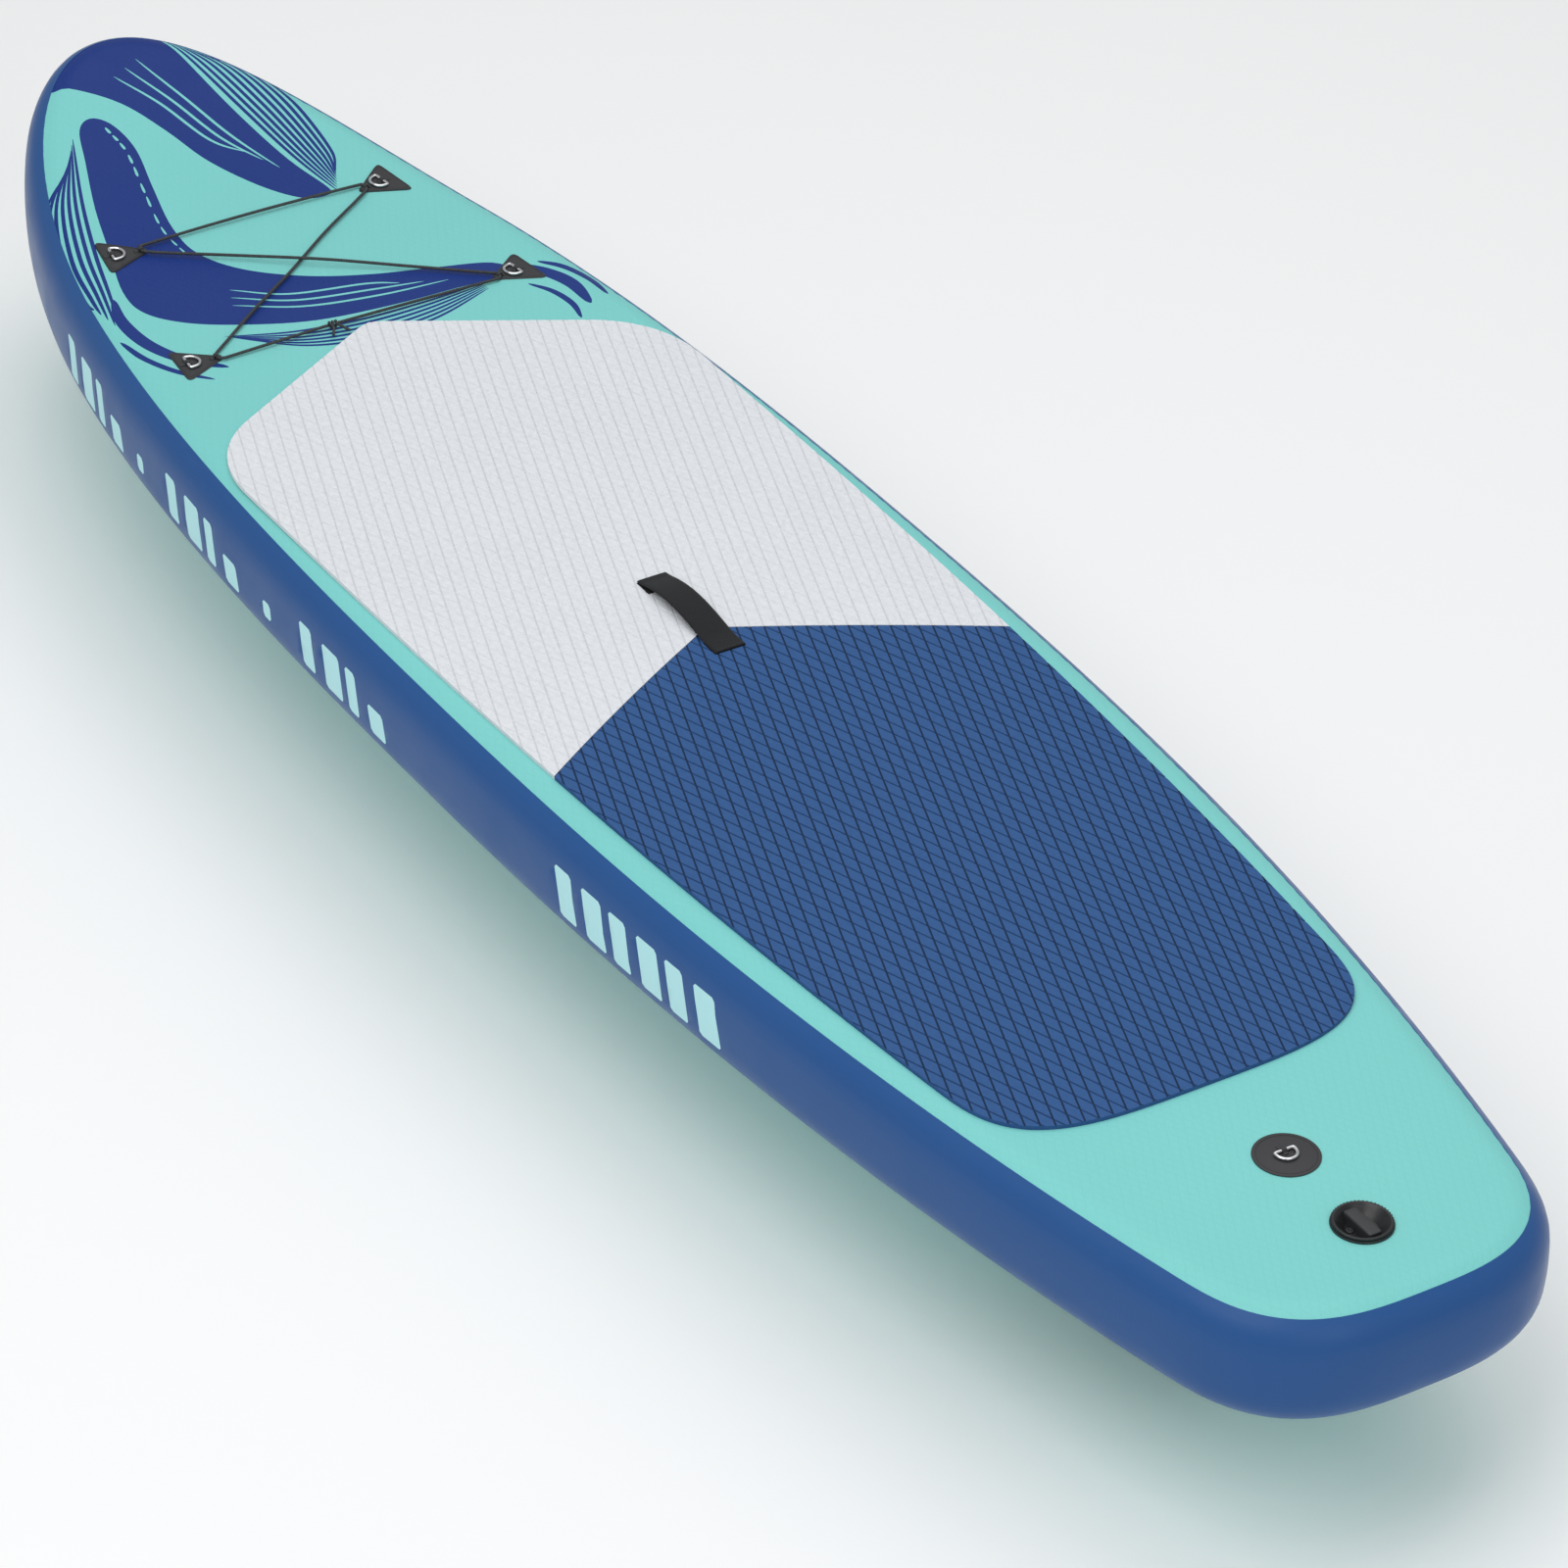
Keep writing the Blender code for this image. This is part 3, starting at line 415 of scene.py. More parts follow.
def piece(name, bm, look, place, smooth, *nodes, body="board"):
    """A finished piece of one material."""
    return stands_for(add_mesh(name, bm, (look,), place, smooth), body, SLOTS[look], *nodes)


def circle(steps):
    turns = (2 * pi * i / steps for i in range(steps))
    return [(cos(a), sin(a)) for a in turns]


def loft(rings, closed=False):
    """A mesh through rings of points, which closes on itself or has both its ends capped."""
    bm = bmesh.new()
    made = [[bm.verts.new(p) for p in ring] for ring in rings]
    for first, second in zip(made, made[1:] + made[:1] if closed else made[1:]):
        for i in range(len(first)):
            j = (i + 1) % len(first)
            bm.faces.new((first[i], first[j], second[j], second[i]))
    if not closed:
        bm.faces.new(made[0][::-1])
        bm.faces.new(made[-1])
    return bm


def bend(start, corner, end, steps):
    """Points of a curve that leaves start and reaches end towards a corner."""
    result = []
    for i in range(steps + 1):
        t = i / steps
        point = Vector(start) * (1 - t) ** 2 + Vector(corner) * 2 * t * (1 - t) + Vector(end) * t**2
        result.append(tuple(point))
    return result


def rounded(profile, radius, steps=3):
    """A closed profile whose corners are cut round by this radius, where they are long enough."""
    result = []
    count = len(profile)
    for i, point in enumerate(profile):
        here = Vector(point)
        before = Vector(profile[i - 1])
        after = Vector(profile[(i + 1) % count])
        if here.x == 0.0:
            result.append(tuple(here))
            continue
        cut = min(radius, (before - here).length * 0.4, (after - here).length * 0.4)
        start = here + (before - here).normalized() * cut
        end = here + (after - here).normalized() * cut
        result += bend(start, here, end, steps)
    return result


def turned(profile, steps, radius):
    """Turns a closed profile of (radius, height) points round Z, with its corners cut to a radius."""
    profile = rounded(profile, radius)
    bm = loft([[(r * c, r * s, z) for r, z in profile] for c, s in circle(steps)], True)
    poles = [v for v in bm.verts if v.co.xy.length < SAME]
    bmesh.ops.remove_doubles(bm, verts=poles, dist=SAME)
    bmesh.ops.delete(bm, geom=[e for e in bm.edges if e.is_wire], context="EDGES")
    return bm


def plate(outline, low, high, edge, steps, shoulder=0.0):
    """A flat outline made solid, with rounded edges; a shoulder slopes its upper edge in."""
    count = len(outline)
    normals = []
    for i in range(count):
        along = (Vector(outline[(i + 1) % count]) - Vector(outline[i - 1])).normalized()
        normals.append(Vector((along.y, -along.x)))
    area = sum(a[0] * b[1] - b[0] * a[1] for a, b in zip(outline, outline[1:] + outline[:1]))
    sign = 1 if area > 0 else -1
    levels = []
    for k in range(steps + 1):
        a = pi / 2 * k / steps
        levels.append((edge * (1 - sin(a)), low + edge * (1 - cos(a))))
    levels += [(inset + shoulder, high + low - z) for inset, z in reversed(levels)]
    rings = []
    for inset, z in levels:
        rings.append([(*(Vector(p) - n * sign * inset), z) for p, n in zip(outline, normals)])
    return loft(rings)


def frames(points, closed=False):
    """Each point with two directions across the route, which don't twist along it."""
    count = len(points)
    across = None
    for i, here in enumerate(points):
        if closed:
            along = (points[(i + 1) % count] - points[i - 1]).normalized()
        else:
            along = (points[min(i + 1, count - 1)] - points[max(i - 1, 0)]).normalized()
        if across is None:
            across = along.orthogonal().normalized()
        across = (across - along * across.dot(along)).normalized()
        yield here, across, along.cross(across)


def tube(route, radius, sides=16, closed=False):
    """A round tube along a route of points."""
    rings = []
    for here, across, other in frames([Vector(p) for p in route], closed):
        rings.append([here + (across * c + other * s) * radius for c, s in circle(sides)])
    return loft(rings, closed)


def strap(route, thickness, width, ribs):
    """A flat band along a route of (x, z) points: rounded edges, with its selvedge a little thinner."""
    half = width / 2
    section = []
    for i in range(ribs + 1):
        y = -half + width * i / ribs
        swell = 1 - 0.3 * (abs(y) / half) ** 8
        section.append((y, thickness / 2 * swell))
    section = [(-half, 0.0)] + section[1:-1] + [(half, 0.0)] + [(y, -h) for y, h in reversed(section[1:-1])]
    rings = []
    for i, point in enumerate(route):
        before = Vector(route[max(i - 1, 0)])
        after = Vector(route[min(i + 1, len(route) - 1)])
        along = (after - before).normalized()
        up = Vector((-along.y, along.x))
        rings.append([(point[0] + up.x * h, y, point[1] + up.y * h) for y, h in section])
    return loft(rings)


def through(points, steps, closed=False):
    """Points of a smooth curve through these points, with even steps in each span."""
    points = [Vector(p) for p in points]
    if closed:
        padded = [points[-1], *points, *points[:2]]
    else:
        padded = [2 * points[0] - points[1], *points, 2 * points[-1] - points[-2]]
    result = []
    for a, b, c, d in zip(padded, padded[1:], padded[2:], padded[3:]):
        for i in range(steps):
            t = i / steps
            curve = (2 * a - 5 * b + 4 * c - d) * t**2 + (3 * b - 3 * c + d - a) * t**3
            result.append(0.5 * (2 * b + (c - a) * t + curve))
    return result if closed else result + [points[-1]]


def flat(points):
    """The x and y of each point."""
    return np.array([tuple(p)[:2] for p in points])


def inside(points, polygon):
    """Which of these (x, y) points lie inside a polygon."""
    x, y = points[:, 0], points[:, 1]
    found = np.zeros(len(points), bool)
    ends = np.roll(polygon, -1, axis=0)
    for (ax, ay), (bx, by) in zip(polygon, ends):
        if ay == by:
            continue
        crosses = (ay > y) != (by > y)
        found ^= crosses & (x < (bx - ax) * (y - ay) / (by - ay) + ax)
    return found


def fitted(border, prints, extra, lines=(), holes=()):
    """Splits the inside of a border into triangles that follow each print's edge.

    Returns the plane points, the triangles, and for each triangle 0 or the
    number of the print that it lies in.
    """
    coords = []
    edges = []
    for ring in [border, *holes, *[p for group in prints for p in group]]:
        first = len(coords)
        coords += [Vector((p[0], p[1])) for p in ring]
        edges += [(first + i, first + (i + 1) % len(ring)) for i in range(len(ring))]
    for start, end in lines:
        edges.append((len(coords), len(coords) + 1))
        coords += [Vector(start), Vector(end)]
    coords += [Vector((p[0], p[1])) for p in extra]
    verts, _, faces, *_ = delaunay_2d_cdt(coords, edges, [], 0, 1e-6)
    plane = np.array([tuple(v) for v in verts])
    faces = np.array([list(f) for f in faces])
    middles = plane[faces].mean(axis=1)
    keep = inside(middles, flat(border))
    for hole in holes:
        keep &= ~inside(middles, flat(hole))
    faces = faces[keep]
    middles = middles[keep]
    marks = np.zeros(len(faces), int)
    for number, group in enumerate(prints, 1):
        for ring in group:
            marks[inside(middles, flat(ring))] = number
    return plane, faces, marks


def shell(name, upper, lower, faces, marks, materials, smooth=35):
    """A closed sheet from its upper and lower points, which share their triangles."""
    used, index = np.unique(faces, return_inverse=True)
    faces = index.reshape(faces.shape)
    upper = upper[used]
    lower = lower[used]
    count = len(upper)
    sides = np.concatenate([faces[:, [0, 1]], faces[:, [1, 2]], faces[:, [2, 0]]])
    known = {tuple(e) for e in sides.tolist()}
    rim = [(a, b) for a, b in sides.tolist() if (b, a) not in known]
    polygons = faces.tolist() + (faces[:, ::-1] + count).tolist()
    polygons += [[b, a, a + count, b + count] for a, b in rim]
    mesh = bpy.data.meshes.new(name)
    mesh.from_pydata(np.concatenate([upper, lower]).tolist(), [], polygons)
    shown = np.concatenate([marks, np.zeros(len(marks) + len(rim), int)])
    mesh.polygons.foreach_set("material_index", shown.astype(np.int32))
    mesh.validate()
    return dressed(name, mesh, materials, smooth)


# --- Hull ---


def rise(x):
    return ROCKER * np.maximum(0.0, np.asarray(x, float) - ROCKER_START) ** 2


def tail_width(x):
    return HALF_WIDTH * (1 - TAIL_TAPER * abs(x) ** TAIL_POWER)


def round_end(straight, corner, power, width, steps):
    """Points round a corner that starts at straight, where width gives the half width at any x."""
    points = []
    for i in range(steps + 1):
        a = pi / 2 * i / steps
        x = straight - corner * sin(a) ** (2 / power)
        points.append((x, width(x) * cos(a) ** (2 / power) if i < steps else 0.0))
    return points


def half_outline(nose=110, side=90, tail=60):
    """Outline points on the left side, close together where it bends."""
    points = []
    for i in range(nose):
        a = pi / 2 * (1 - i / nose)
        y = HALF_WIDTH * cos(a) ** (2 * NOSE_BLUNT) if i else 0.0
        points.append((HALF * sin(a) ** (2 / NOSE_POWER), y))
    straight = HALF - TAIL_CORNER
    for i in range(side):
        x = -straight * i / side
        points.append((x, tail_width(x)))
    return points + round_end(-straight, TAIL_CORNER, 3, tail_width, tail)


def even(points, count):
    """The same line with evenly spaced points."""
    line = np.array(points)
    steps = np.hypot(*np.diff(line, axis=0).T)
    length = np.concatenate([[0], np.cumsum(steps)])
    along = np.linspace(0, length[-1], count)
    return np.column_stack([np.interp(along, length, line[:, k]) for k in (0, 1)]), along


SIDE_COUNT = 260
SIDE_LINE, SIDE_AT = even(half_outline(), SIDE_COUNT)
SIDE_LENGTH = SIDE_AT[-1]


def side_normals():
    line = SIDE_LINE
    along = np.gradient(line, axis=0)
    along[0] = (0, 1)
    along[-1] = (0, -1)
    along /= np.hypot(*along.T)[:, None]
    normals = np.column_stack([along[:, 1], -along[:, 0]])
    normals[0] = (1, 0)
    normals[-1] = (-1, 0)
    return normals


SIDE_NORMALS = side_normals()
WHOLE_LINE = np.concatenate([SIDE_LINE, SIDE_LINE[-2:0:-1] * (1, -1)])
WHOLE_NORMALS = np.concatenate([SIDE_NORMALS, SIDE_NORMALS[-2:0:-1] * (1, -1)])


def inset_line(depth):
    return WHOLE_LINE - WHOLE_NORMALS * depth


def edge_inset(turn):
    """How far inside the outline the rounded edge has turned this many degrees from level."""
    return EDGE_RADIUS * (1 - sin(radians(turn)))


def edge_distance(points):
    """How far inside the board's outline each (x, y) point is."""
    nearest = np.full(len(points), 9.0)
    for a, b in zip(WHOLE_LINE, np.roll(WHOLE_LINE, -1, axis=0)):
        along = b - a
        t = np.clip(((points - a) @ along) / (along @ along), 0, 1)
        gap = points - a - t[:, None] * along
        nearest = np.minimum(nearest, np.hypot(*gap.T))
    return nearest


def sheet_height(points):
    """How far the rounded edge drops a deck point below the flat of the deck."""
    reach = np.clip(EDGE_RADIUS - edge_distance(points), 0, EDGE_RADIUS * 0.999)
    return EDGE_RADIUS - np.sqrt(EDGE_RADIUS**2 - reach**2)


def sheet_extra(spacing, depths):
    """Points that carry the rounded edge and the nose's rise."""
    extra = [tuple(p) for depth in depths for p in inset_line(depth)[::2]]
    grid = np.array([(x, y) for x in np.arange(-1.5, 1.5, spacing) for y in np.arange(-0.36, 0.361, spacing)])
    border = inset_line(EDGE_RADIUS * 1.08)
    return extra + [tuple(p) for p in grid[inside(grid, border)]]


def build_sheet(name, upper_side, prints, materials, slot, node, holes=()):
    """The deck or bottom skin, out to a little past the colour line."""
    depths = [edge_inset(turn) for turn in (0, 7, 14, 21, 28, 33)]
    border = [tuple(p) for p in inset_line(edge_inset(COLOUR_LINE + 5))]
    plane, faces, marks = fitted(border, prints, sheet_extra(0.03, depths), holes=holes)
    drop = sheet_height(plane)
    lift = rise(plane[:, 0])
    top = DECK_Z - drop + lift if upper_side else BOTTOM_Z + drop + lift + SKIN
    upper, lower = (np.column_stack([plane, height]) for height in (top, top - SKIN))
    obj = shell(name, upper, lower, faces, marks, materials)
    return stands_for(obj, "board", slot, node)


# Generic wave prints in place of the pictures on the real deck: outlines as (x, y) points
NOSE_WAVE = (
    (1.6, -0.064), (1.5, -0.07), (1.42, -0.084), (1.3, -0.098), (1.19, -0.112), (1.112, -0.128),
    (1.096, -0.118), (1.104, -0.086), (1.15, -0.05), (1.23, -0.012), (1.31, 0.01), (1.38, 0.04),
    (1.43, 0.092), (1.455, 0.15), (1.6, 0.2),
)
LONG_WAVE = (
    (1.352, 0.118), (1.368, 0.092), (1.345, 0.071), (1.29, 0.066), (1.21, 0.084), (1.12, 0.104),
    (1.05, 0.104), (0.985, 0.07), (0.93, 0.006), (0.893, -0.07), (0.868, -0.15), (0.842, -0.222),
    (0.806, -0.232), (0.808, -0.15), (0.812, -0.05), (0.826, 0.05), (0.858, 0.13), (0.9, 0.198),
    (0.95, 0.236), (1.01, 0.236), (1.11, 0.204), (1.2, 0.176), (1.29, 0.142),
)
# Crests: the points of a smooth line, then its width at the middle
CRESTS = (
    (((0.78, 0.206), (0.822, 0.246), (0.88, 0.27), (0.945, 0.272), (1.0, 0.256)), 0.02),
    (((0.762, 0.236), (0.8, 0.268), (0.85, 0.29), (0.905, 0.296)), 0.01),
    (((0.824, -0.246), (0.786, -0.272), (0.744, -0.286), (0.69, -0.282)), 0.022),
    (((0.816, -0.276), (0.786, -0.3), (0.744, -0.314), (0.7, -0.314)), 0.012),
    (((0.772, -0.236), (0.74, -0.254), (0.7, -0.26), (0.664, -0.252)), 0.01),
)


def stripe(points, width):
    """The outline of a stripe along a smooth line, thin at both ends."""
    line = through([(*p, 0.0) for p in points], 8)
    count = len(line)
    left = []
    right = []
    for i, here in enumerate(line):
        along = (line[min(i + 1, count - 1)] - line[max(i - 1, 0)]).normalized()
        across = Vector((-along.y, along.x))
        share = i / (count - 1)
        half = width / 2 * (0.12 + 0.88 * sin(pi * share) ** 0.5)
        left.append((here.x + across.x * half, here.y + across.y * half))
        right.append((here.x - across.x * half, here.y - across.y * half))
    return left + right[::-1]


def dashes(points, count, width):
    """Short dashes along a smooth line, thinner towards its end."""
    line = through([(*p, 0.0) for p in points], 12)
    step = len(line) / count
    result = []
    for i in range(count):
        start = int(i * step)
        part = line[start:start + max(4, int(step * 0.5))]
        if len(part) > 3:
            ends = [tuple(p.xy) for p in (part[0], part[len(part) // 2], part[-1])]
            result.append(stripe(ends, width * (1 - 0.4 * i / count)))
    return result


def nose_prints():
    """Navy waves with thin stripes beside them, and the bare lines left open inside them."""
    navy = [through([(*p, 0.0) for p in shape], 6, True) for shape in (NOSE_WAVE, LONG_WAVE)]
    navy += [stripe(points, width) for points, width in CRESTS]
    for i in range(8):
        step = 0.01 * (i + 0.6)
        start = (1.1 + 0.006 * i, -0.134 - step * 0.3)
        route = (start, (1.19, -0.118 - step * 0.75), (1.3, -0.104 - step), (1.4, -0.09 - step * 0.95))
        navy.append(stripe((*route, (1.482 - 0.009 * i, -0.074 - step * 0.62)), 0.0056))
    for i in range(7):
        step = 0.0112 * (i + 0.7)
        start = (0.925 + 0.018 * i, 0.282 + step * 0.06)
        route = (start, (1.02, 0.246 + step * 0.75), (1.11, 0.216 + step), (1.22, 0.178 + step * 0.86))
        navy.append(stripe((*route, (1.34 - 0.01 * i, 0.13 + step * 0.6)), 0.0058))
    for i in range(6):
        step = 0.0098 * (i + 0.6)
        route = ((0.85 - step * 0.3, 0.176 - step * 0.3), (0.82 - step * 0.8, 0.09), (0.806 - step, 0.0))
        navy.append(stripe((*route, (0.803 - step * 0.85, -0.09), (0.804 - step * 0.3, -0.185)), 0.0052))
    bare = []
    for i in range(3):
        start, end = (1.18 + 0.024 * i, -0.092 + 0.012 * i), (1.36, -0.046 + 0.018 * i)
        route = (start, (1.27, -0.066 + 0.015 * i), end)
        bare.append(stripe((*route, (1.45 - 0.01 * i, -0.02 + 0.022 * i)), 0.0044))
    for i in range(3):
        route = ((0.832 + 0.012 * i, -0.15 + 0.03 * i), (0.842 + 0.017 * i, -0.05), (0.866 + 0.018 * i, 0.05))
        bare.append(stripe((*route, (0.912 + 0.018 * i, 0.128 - 0.008 * i)), 0.0044))
    bare += dashes(((1.345, 0.083), (1.29, 0.08), (1.21, 0.098), (1.12, 0.118), (1.05, 0.118)), 11, 0.0044)
    return navy, bare


def cut_to(ring, depth):
    """Pulls an outline's points back inside the board's edge, so that no print leaves the sheet."""
    points = flat(ring)
    border = inset_line(depth)
    outside = ~inside(points, border)
    for i in np.nonzero(outside)[0]:
        points[i] = border[np.argmin(np.hypot(*(border - points[i]).T))]
    kept = [points[0]]
    for point in points[1:]:
        if np.hypot(*(point - kept[-1])) > 0.0004:
            kept.append(point)
    return [tuple(p) for p in kept]


def build_deck():
    depth = edge_inset(COLOUR_LINE + 3.5)
    prints = [[cut_to(ring, depth) for ring in group] for group in nose_prints()]
    hole = [(VALVE_X + VALVE_HOLE * c, VALVE_HOLE * s) for c, s in circle(64)]
    looks = ("deck", "print_navy", "deck")
    build_sheet("deck_sheet", True, prints, looks, "turquoise_pvc", "deck_skin", [hole])
    build_sheet("bottom_sheet", False, [], ("bottom",), "turquoise_pvc", "bottom_skin")


ARC = EDGE_RADIUS * radians(90 - COLOUR_LINE)
UPRIGHT = THICKNESS - 2 * EDGE_RADIUS
RAIL_GIRTH = 2 * ARC + UPRIGHT
RAIL_BULGE = 0.0022


def rail_surface(plane, sign, depth):
    """Points of the rail from (length along it, distance down from the colour line)."""
    at, down = plane[:, 0], plane[:, 1]
    line = np.column_stack([np.interp(at, SIDE_AT, SIDE_LINE[:, k]) for k in (0, 1)])
    normal = np.column_stack([np.interp(at, SIDE_AT, SIDE_NORMALS[:, k]) for k in (0, 1)])
    normal /= np.hypot(*normal.T)[:, None]
    upper = np.clip(down, 0, ARC) / EDGE_RADIUS + radians(COLOUR_LINE)
    lower = np.clip(down - ARC - UPRIGHT, 0, ARC) / EDGE_RADIUS
    angle = upper + lower
    radius = EDGE_RADIUS - depth
    middle = THICKNESS - EDGE_RADIUS - np.clip(down - ARC, 0, UPRIGHT)
    bulge = RAIL_BULGE * np.sin(np.clip((down - ARC * 0.5) / (UPRIGHT + ARC), 0, 1) * pi) ** 2
    out = EDGE_RADIUS - radius * np.sin(angle) - bulge
    x, y = (line - normal * out[:, None]).T
    return np.column_stack([x, y * sign, BOTTOM_Z + middle + radius * np.cos(angle) + rise(x)])


def slanted(start, width, low, high, lean=0.012):
    """A slanted bar on the rail, between two distances along it, with cut corners."""
    lift = (high - low) * lean / 0.05
    corners = [(start, low), (start + width, low), (start + width + lift, high), (start + lift, high)]
    result = []
    for i, corner in enumerate(corners):
        here = Vector(corner)
        for other in (corners[i - 1], corners[(i + 1) % 4]):
            result.append(tuple(here + (Vector(other) - here).normalized() * 0.004))
    return result


def along_at(x):
    """Distance along the side line where it passes x."""
    return float(np.interp(-x, -SIDE_LINE[:, 0], SIDE_AT))


def rail_prints():
    """Bars and short dashes in place of the words on the real rail."""
    marks = []
    low, high = ARC + 0.001, ARC + UPRIGHT + 0.006
    for group in (1.03, 0.67, 0.29):
        for i, width in enumerate((0.03, 0.042, 0.024, 0.036)):
            start = along_at(group - 0.058 * i)
            top = low if i < 3 else low + 0.02
            marks.append(slanted(start, width, top, high))
    for x in (0.762, 0.385):
        marks.append(slanted(along_at(x), 0.02, low + 0.024, high - 0.01, 0.006))
    for i in range(6):
        width = 0.04 if i % 2 else 0.034
        marks.append(slanted(along_at(-0.312 - 0.056 * i), width, low - 0.004, high + 0.004))
    return marks


def build_rails():
    across = [RAIL_GIRTH * k / 18 for k in range(1, 18)]
    border = [(at, 0.0) for at in SIDE_AT] + [(SIDE_LENGTH, down) for down in across]
    border += [(at, RAIL_GIRTH) for at in SIDE_AT[::-1]] + [(0.0, down) for down in across[::-1]]
    extra = [(at, down) for at in SIDE_AT[1:-1] for down in across]
    for side, sign in (("left", 1), ("right", -1)):
        prints = [rail_prints()] if side == "left" else []
        plane, faces, marks = fitted(border, prints, extra)
        outer = rail_surface(plane, sign, -0.0004)
        inner = rail_surface(plane, sign, 0.001)
        if sign < 0:
            faces = faces[:, ::-1]
        obj = shell(f"rail_sheet_{side}", outer, inner, faces, marks, ("rail", "print_pale"))
        stands_for(obj, "board", "blue_pvc", f"rail_band_{side}")


# --- Deck pads ---


def pad_width(x):
    return PAD_HALF * (1 - PAD_TAPER * max(0.0, PAD_WIDEST - x) ** 2.2)


def pad_side(front, rear, steps):
    return [(x, pad_width(x)) for x in np.linspace(front, rear, steps)]


def split_line(y):
    return SPLIT_APEX - 0.5 * abs(y) - 0.18 * y * y


def mirrored(half):
    return half + [(x, -y) for x, y in reversed(half) if y > 1e-6]


def front_pad_outline():
    corner = (PAD_APEX - PAD_SWEEP * PAD_HALF, PAD_HALF)
    half = bend((PAD_APEX - 0.004, 0.0), (PAD_APEX - 0.006, 0.012), (PAD_APEX - PAD_SWEEP * 0.03, 0.03), 6)
    half += bend((PAD_APEX - PAD_SWEEP * 0.25, 0.25), corner, (0.5, PAD_HALF), 24)
    half += pad_side(0.42, split_line(pad_width(-0.22)), 40)
    half += [(split_line(y), y) for y in np.linspace(0.3, 0.01, 24)]
    return mirrored(half + [(split_line(0), 0.0)])


def rear_pad_outline():
    half = [(split_line(y) - PAD_GAP, y) for y in np.linspace(0.0, 0.3, 24)]
    side = split_line(pad_width(-0.22)) - PAD_GAP
    straight = PAD_REAR + PAD_CORNER
    half += pad_side(side, straight, 50)[:-1]
    return mirrored(half + round_end(straight, PAD_CORNER, 3.7, pad_width, 36))


GROOVE_TURN = atan2(DIAMOND_WIDTH, DIAMOND_LENGTH)
LINE_END = 0.00005
GROOVE_PITCH = DIAMOND_WIDTH * cos(GROOVE_TURN)


def groove_depths(points):
    """How deep each set of grooves is at each (x, y) point, from 0 to 1."""
    depths = []
    for turn in (GROOVE_TURN, -GROOVE_TURN):
        across = points[:, 1] * cos(turn) - points[:, 0] * sin(turn)
        off = np.abs(across / GROOVE_PITCH - np.round(across / GROOVE_PITCH)) * GROOVE_PITCH
        depths.append(np.clip(1 - off / (GROOVE / 2), 0, 1))
    return depths


def groove_lines(outline):
    """The edges and the bottom of every groove, ending just inside the pad's outline."""
    ring = np.array(outline)
    ends = np.roll(ring, -1, axis=0)
    lines = []
    for turn in (GROOVE_TURN, -GROOVE_TURN):
        along = np.array([cos(turn), sin(turn)])
        across = np.array([-along[1], along[0]])
        reach = ring @ across
        first = floor(reach.min() / GROOVE_PITCH)
        last = ceil(reach.max() / GROOVE_PITCH)
        for number in range(first, last + 1):
            for shift in (-GROOVE / 2, 0.0, GROOVE / 2):
                level = number * GROOVE_PITCH + shift
                a = ring @ across - level
                b = ends @ across - level
                hits = []
                for i in np.nonzero(a * b < 0)[0]:
                    t = a[i] / (a[i] - b[i])
                    hits.append(float((ring[i] + (ends[i] - ring[i]) * t) @ along))
                hits.sort()
                for start, end in zip(hits[::2], hits[1::2]):
                    start, end = start + LINE_END, end - LINE_END
                    if start < end:
                        lines.append(tuple(tuple(along * at + across * level) for at in (start, end)))
    return lines


def build_pads():
    pads = (("front_pad", front_pad_outline(), "grey_foam"), ("rear_pad", rear_pad_outline(), "blue_foam"))
    for name, outline, slot in pads:
        part = name.split("_")[0]
        deep = GROOVE_DEPTH if part == "rear" else GROOVE_DEPTH * 0.6
        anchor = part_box(f"handle_anchor_{part}")
        gap = 0.0004
        hole = [
            (anchor[0].x - gap, anchor[0].y - gap), (anchor[1].x + gap, anchor[0].y - gap),
            (anchor[1].x + gap, anchor[1].y + gap), (anchor[0].x - gap, anchor[1].y + gap),
        ]
        plane, faces, _ = fitted(outline, [], [], groove_lines(outline), [hole])
        depth = np.maximum(*groove_depths(plane))
        # Faces in the grooves take the darker foams, painted shade: the main set darkest, the cross set
        # lighter, as the light falls across the pad.
        cross, main = groove_depths(plane[faces].mean(axis=1))
        marks = np.where(main > 0.05, 1, np.where(cross > 0.05, 2, 0))
        upper = np.column_stack([plane, PAD_TOP - depth * deep])
        lower = np.column_stack([plane, np.full(len(plane), PAD_LOW)])
        looks = [f"{part}_{look}" for look in ("foam", "groove", "cross")]
        pad = shell(f"{name}_foam", upper, lower, faces, marks, looks, 20)
        stands_for(pad, "board", slot, name)


# --- Handle ---


def stitches(name, places, length, radius):
    """Short raised threads laid along a seam, in one mesh."""
    joined = bmesh.new()
    shape = Matrix.Rotation(radians(90), 4, "Z") @ Matrix.Diagonal((length / 2, radius, radius * 0.8, 1))
    for centre in places:
        matrix = Matrix.Translation(centre) @ shape
        bmesh.ops.create_uvsphere(joined, u_segments=8, v_segments=6, radius=1.0, matrix=matrix)
    piece(name, joined, "stitch", None, 60)


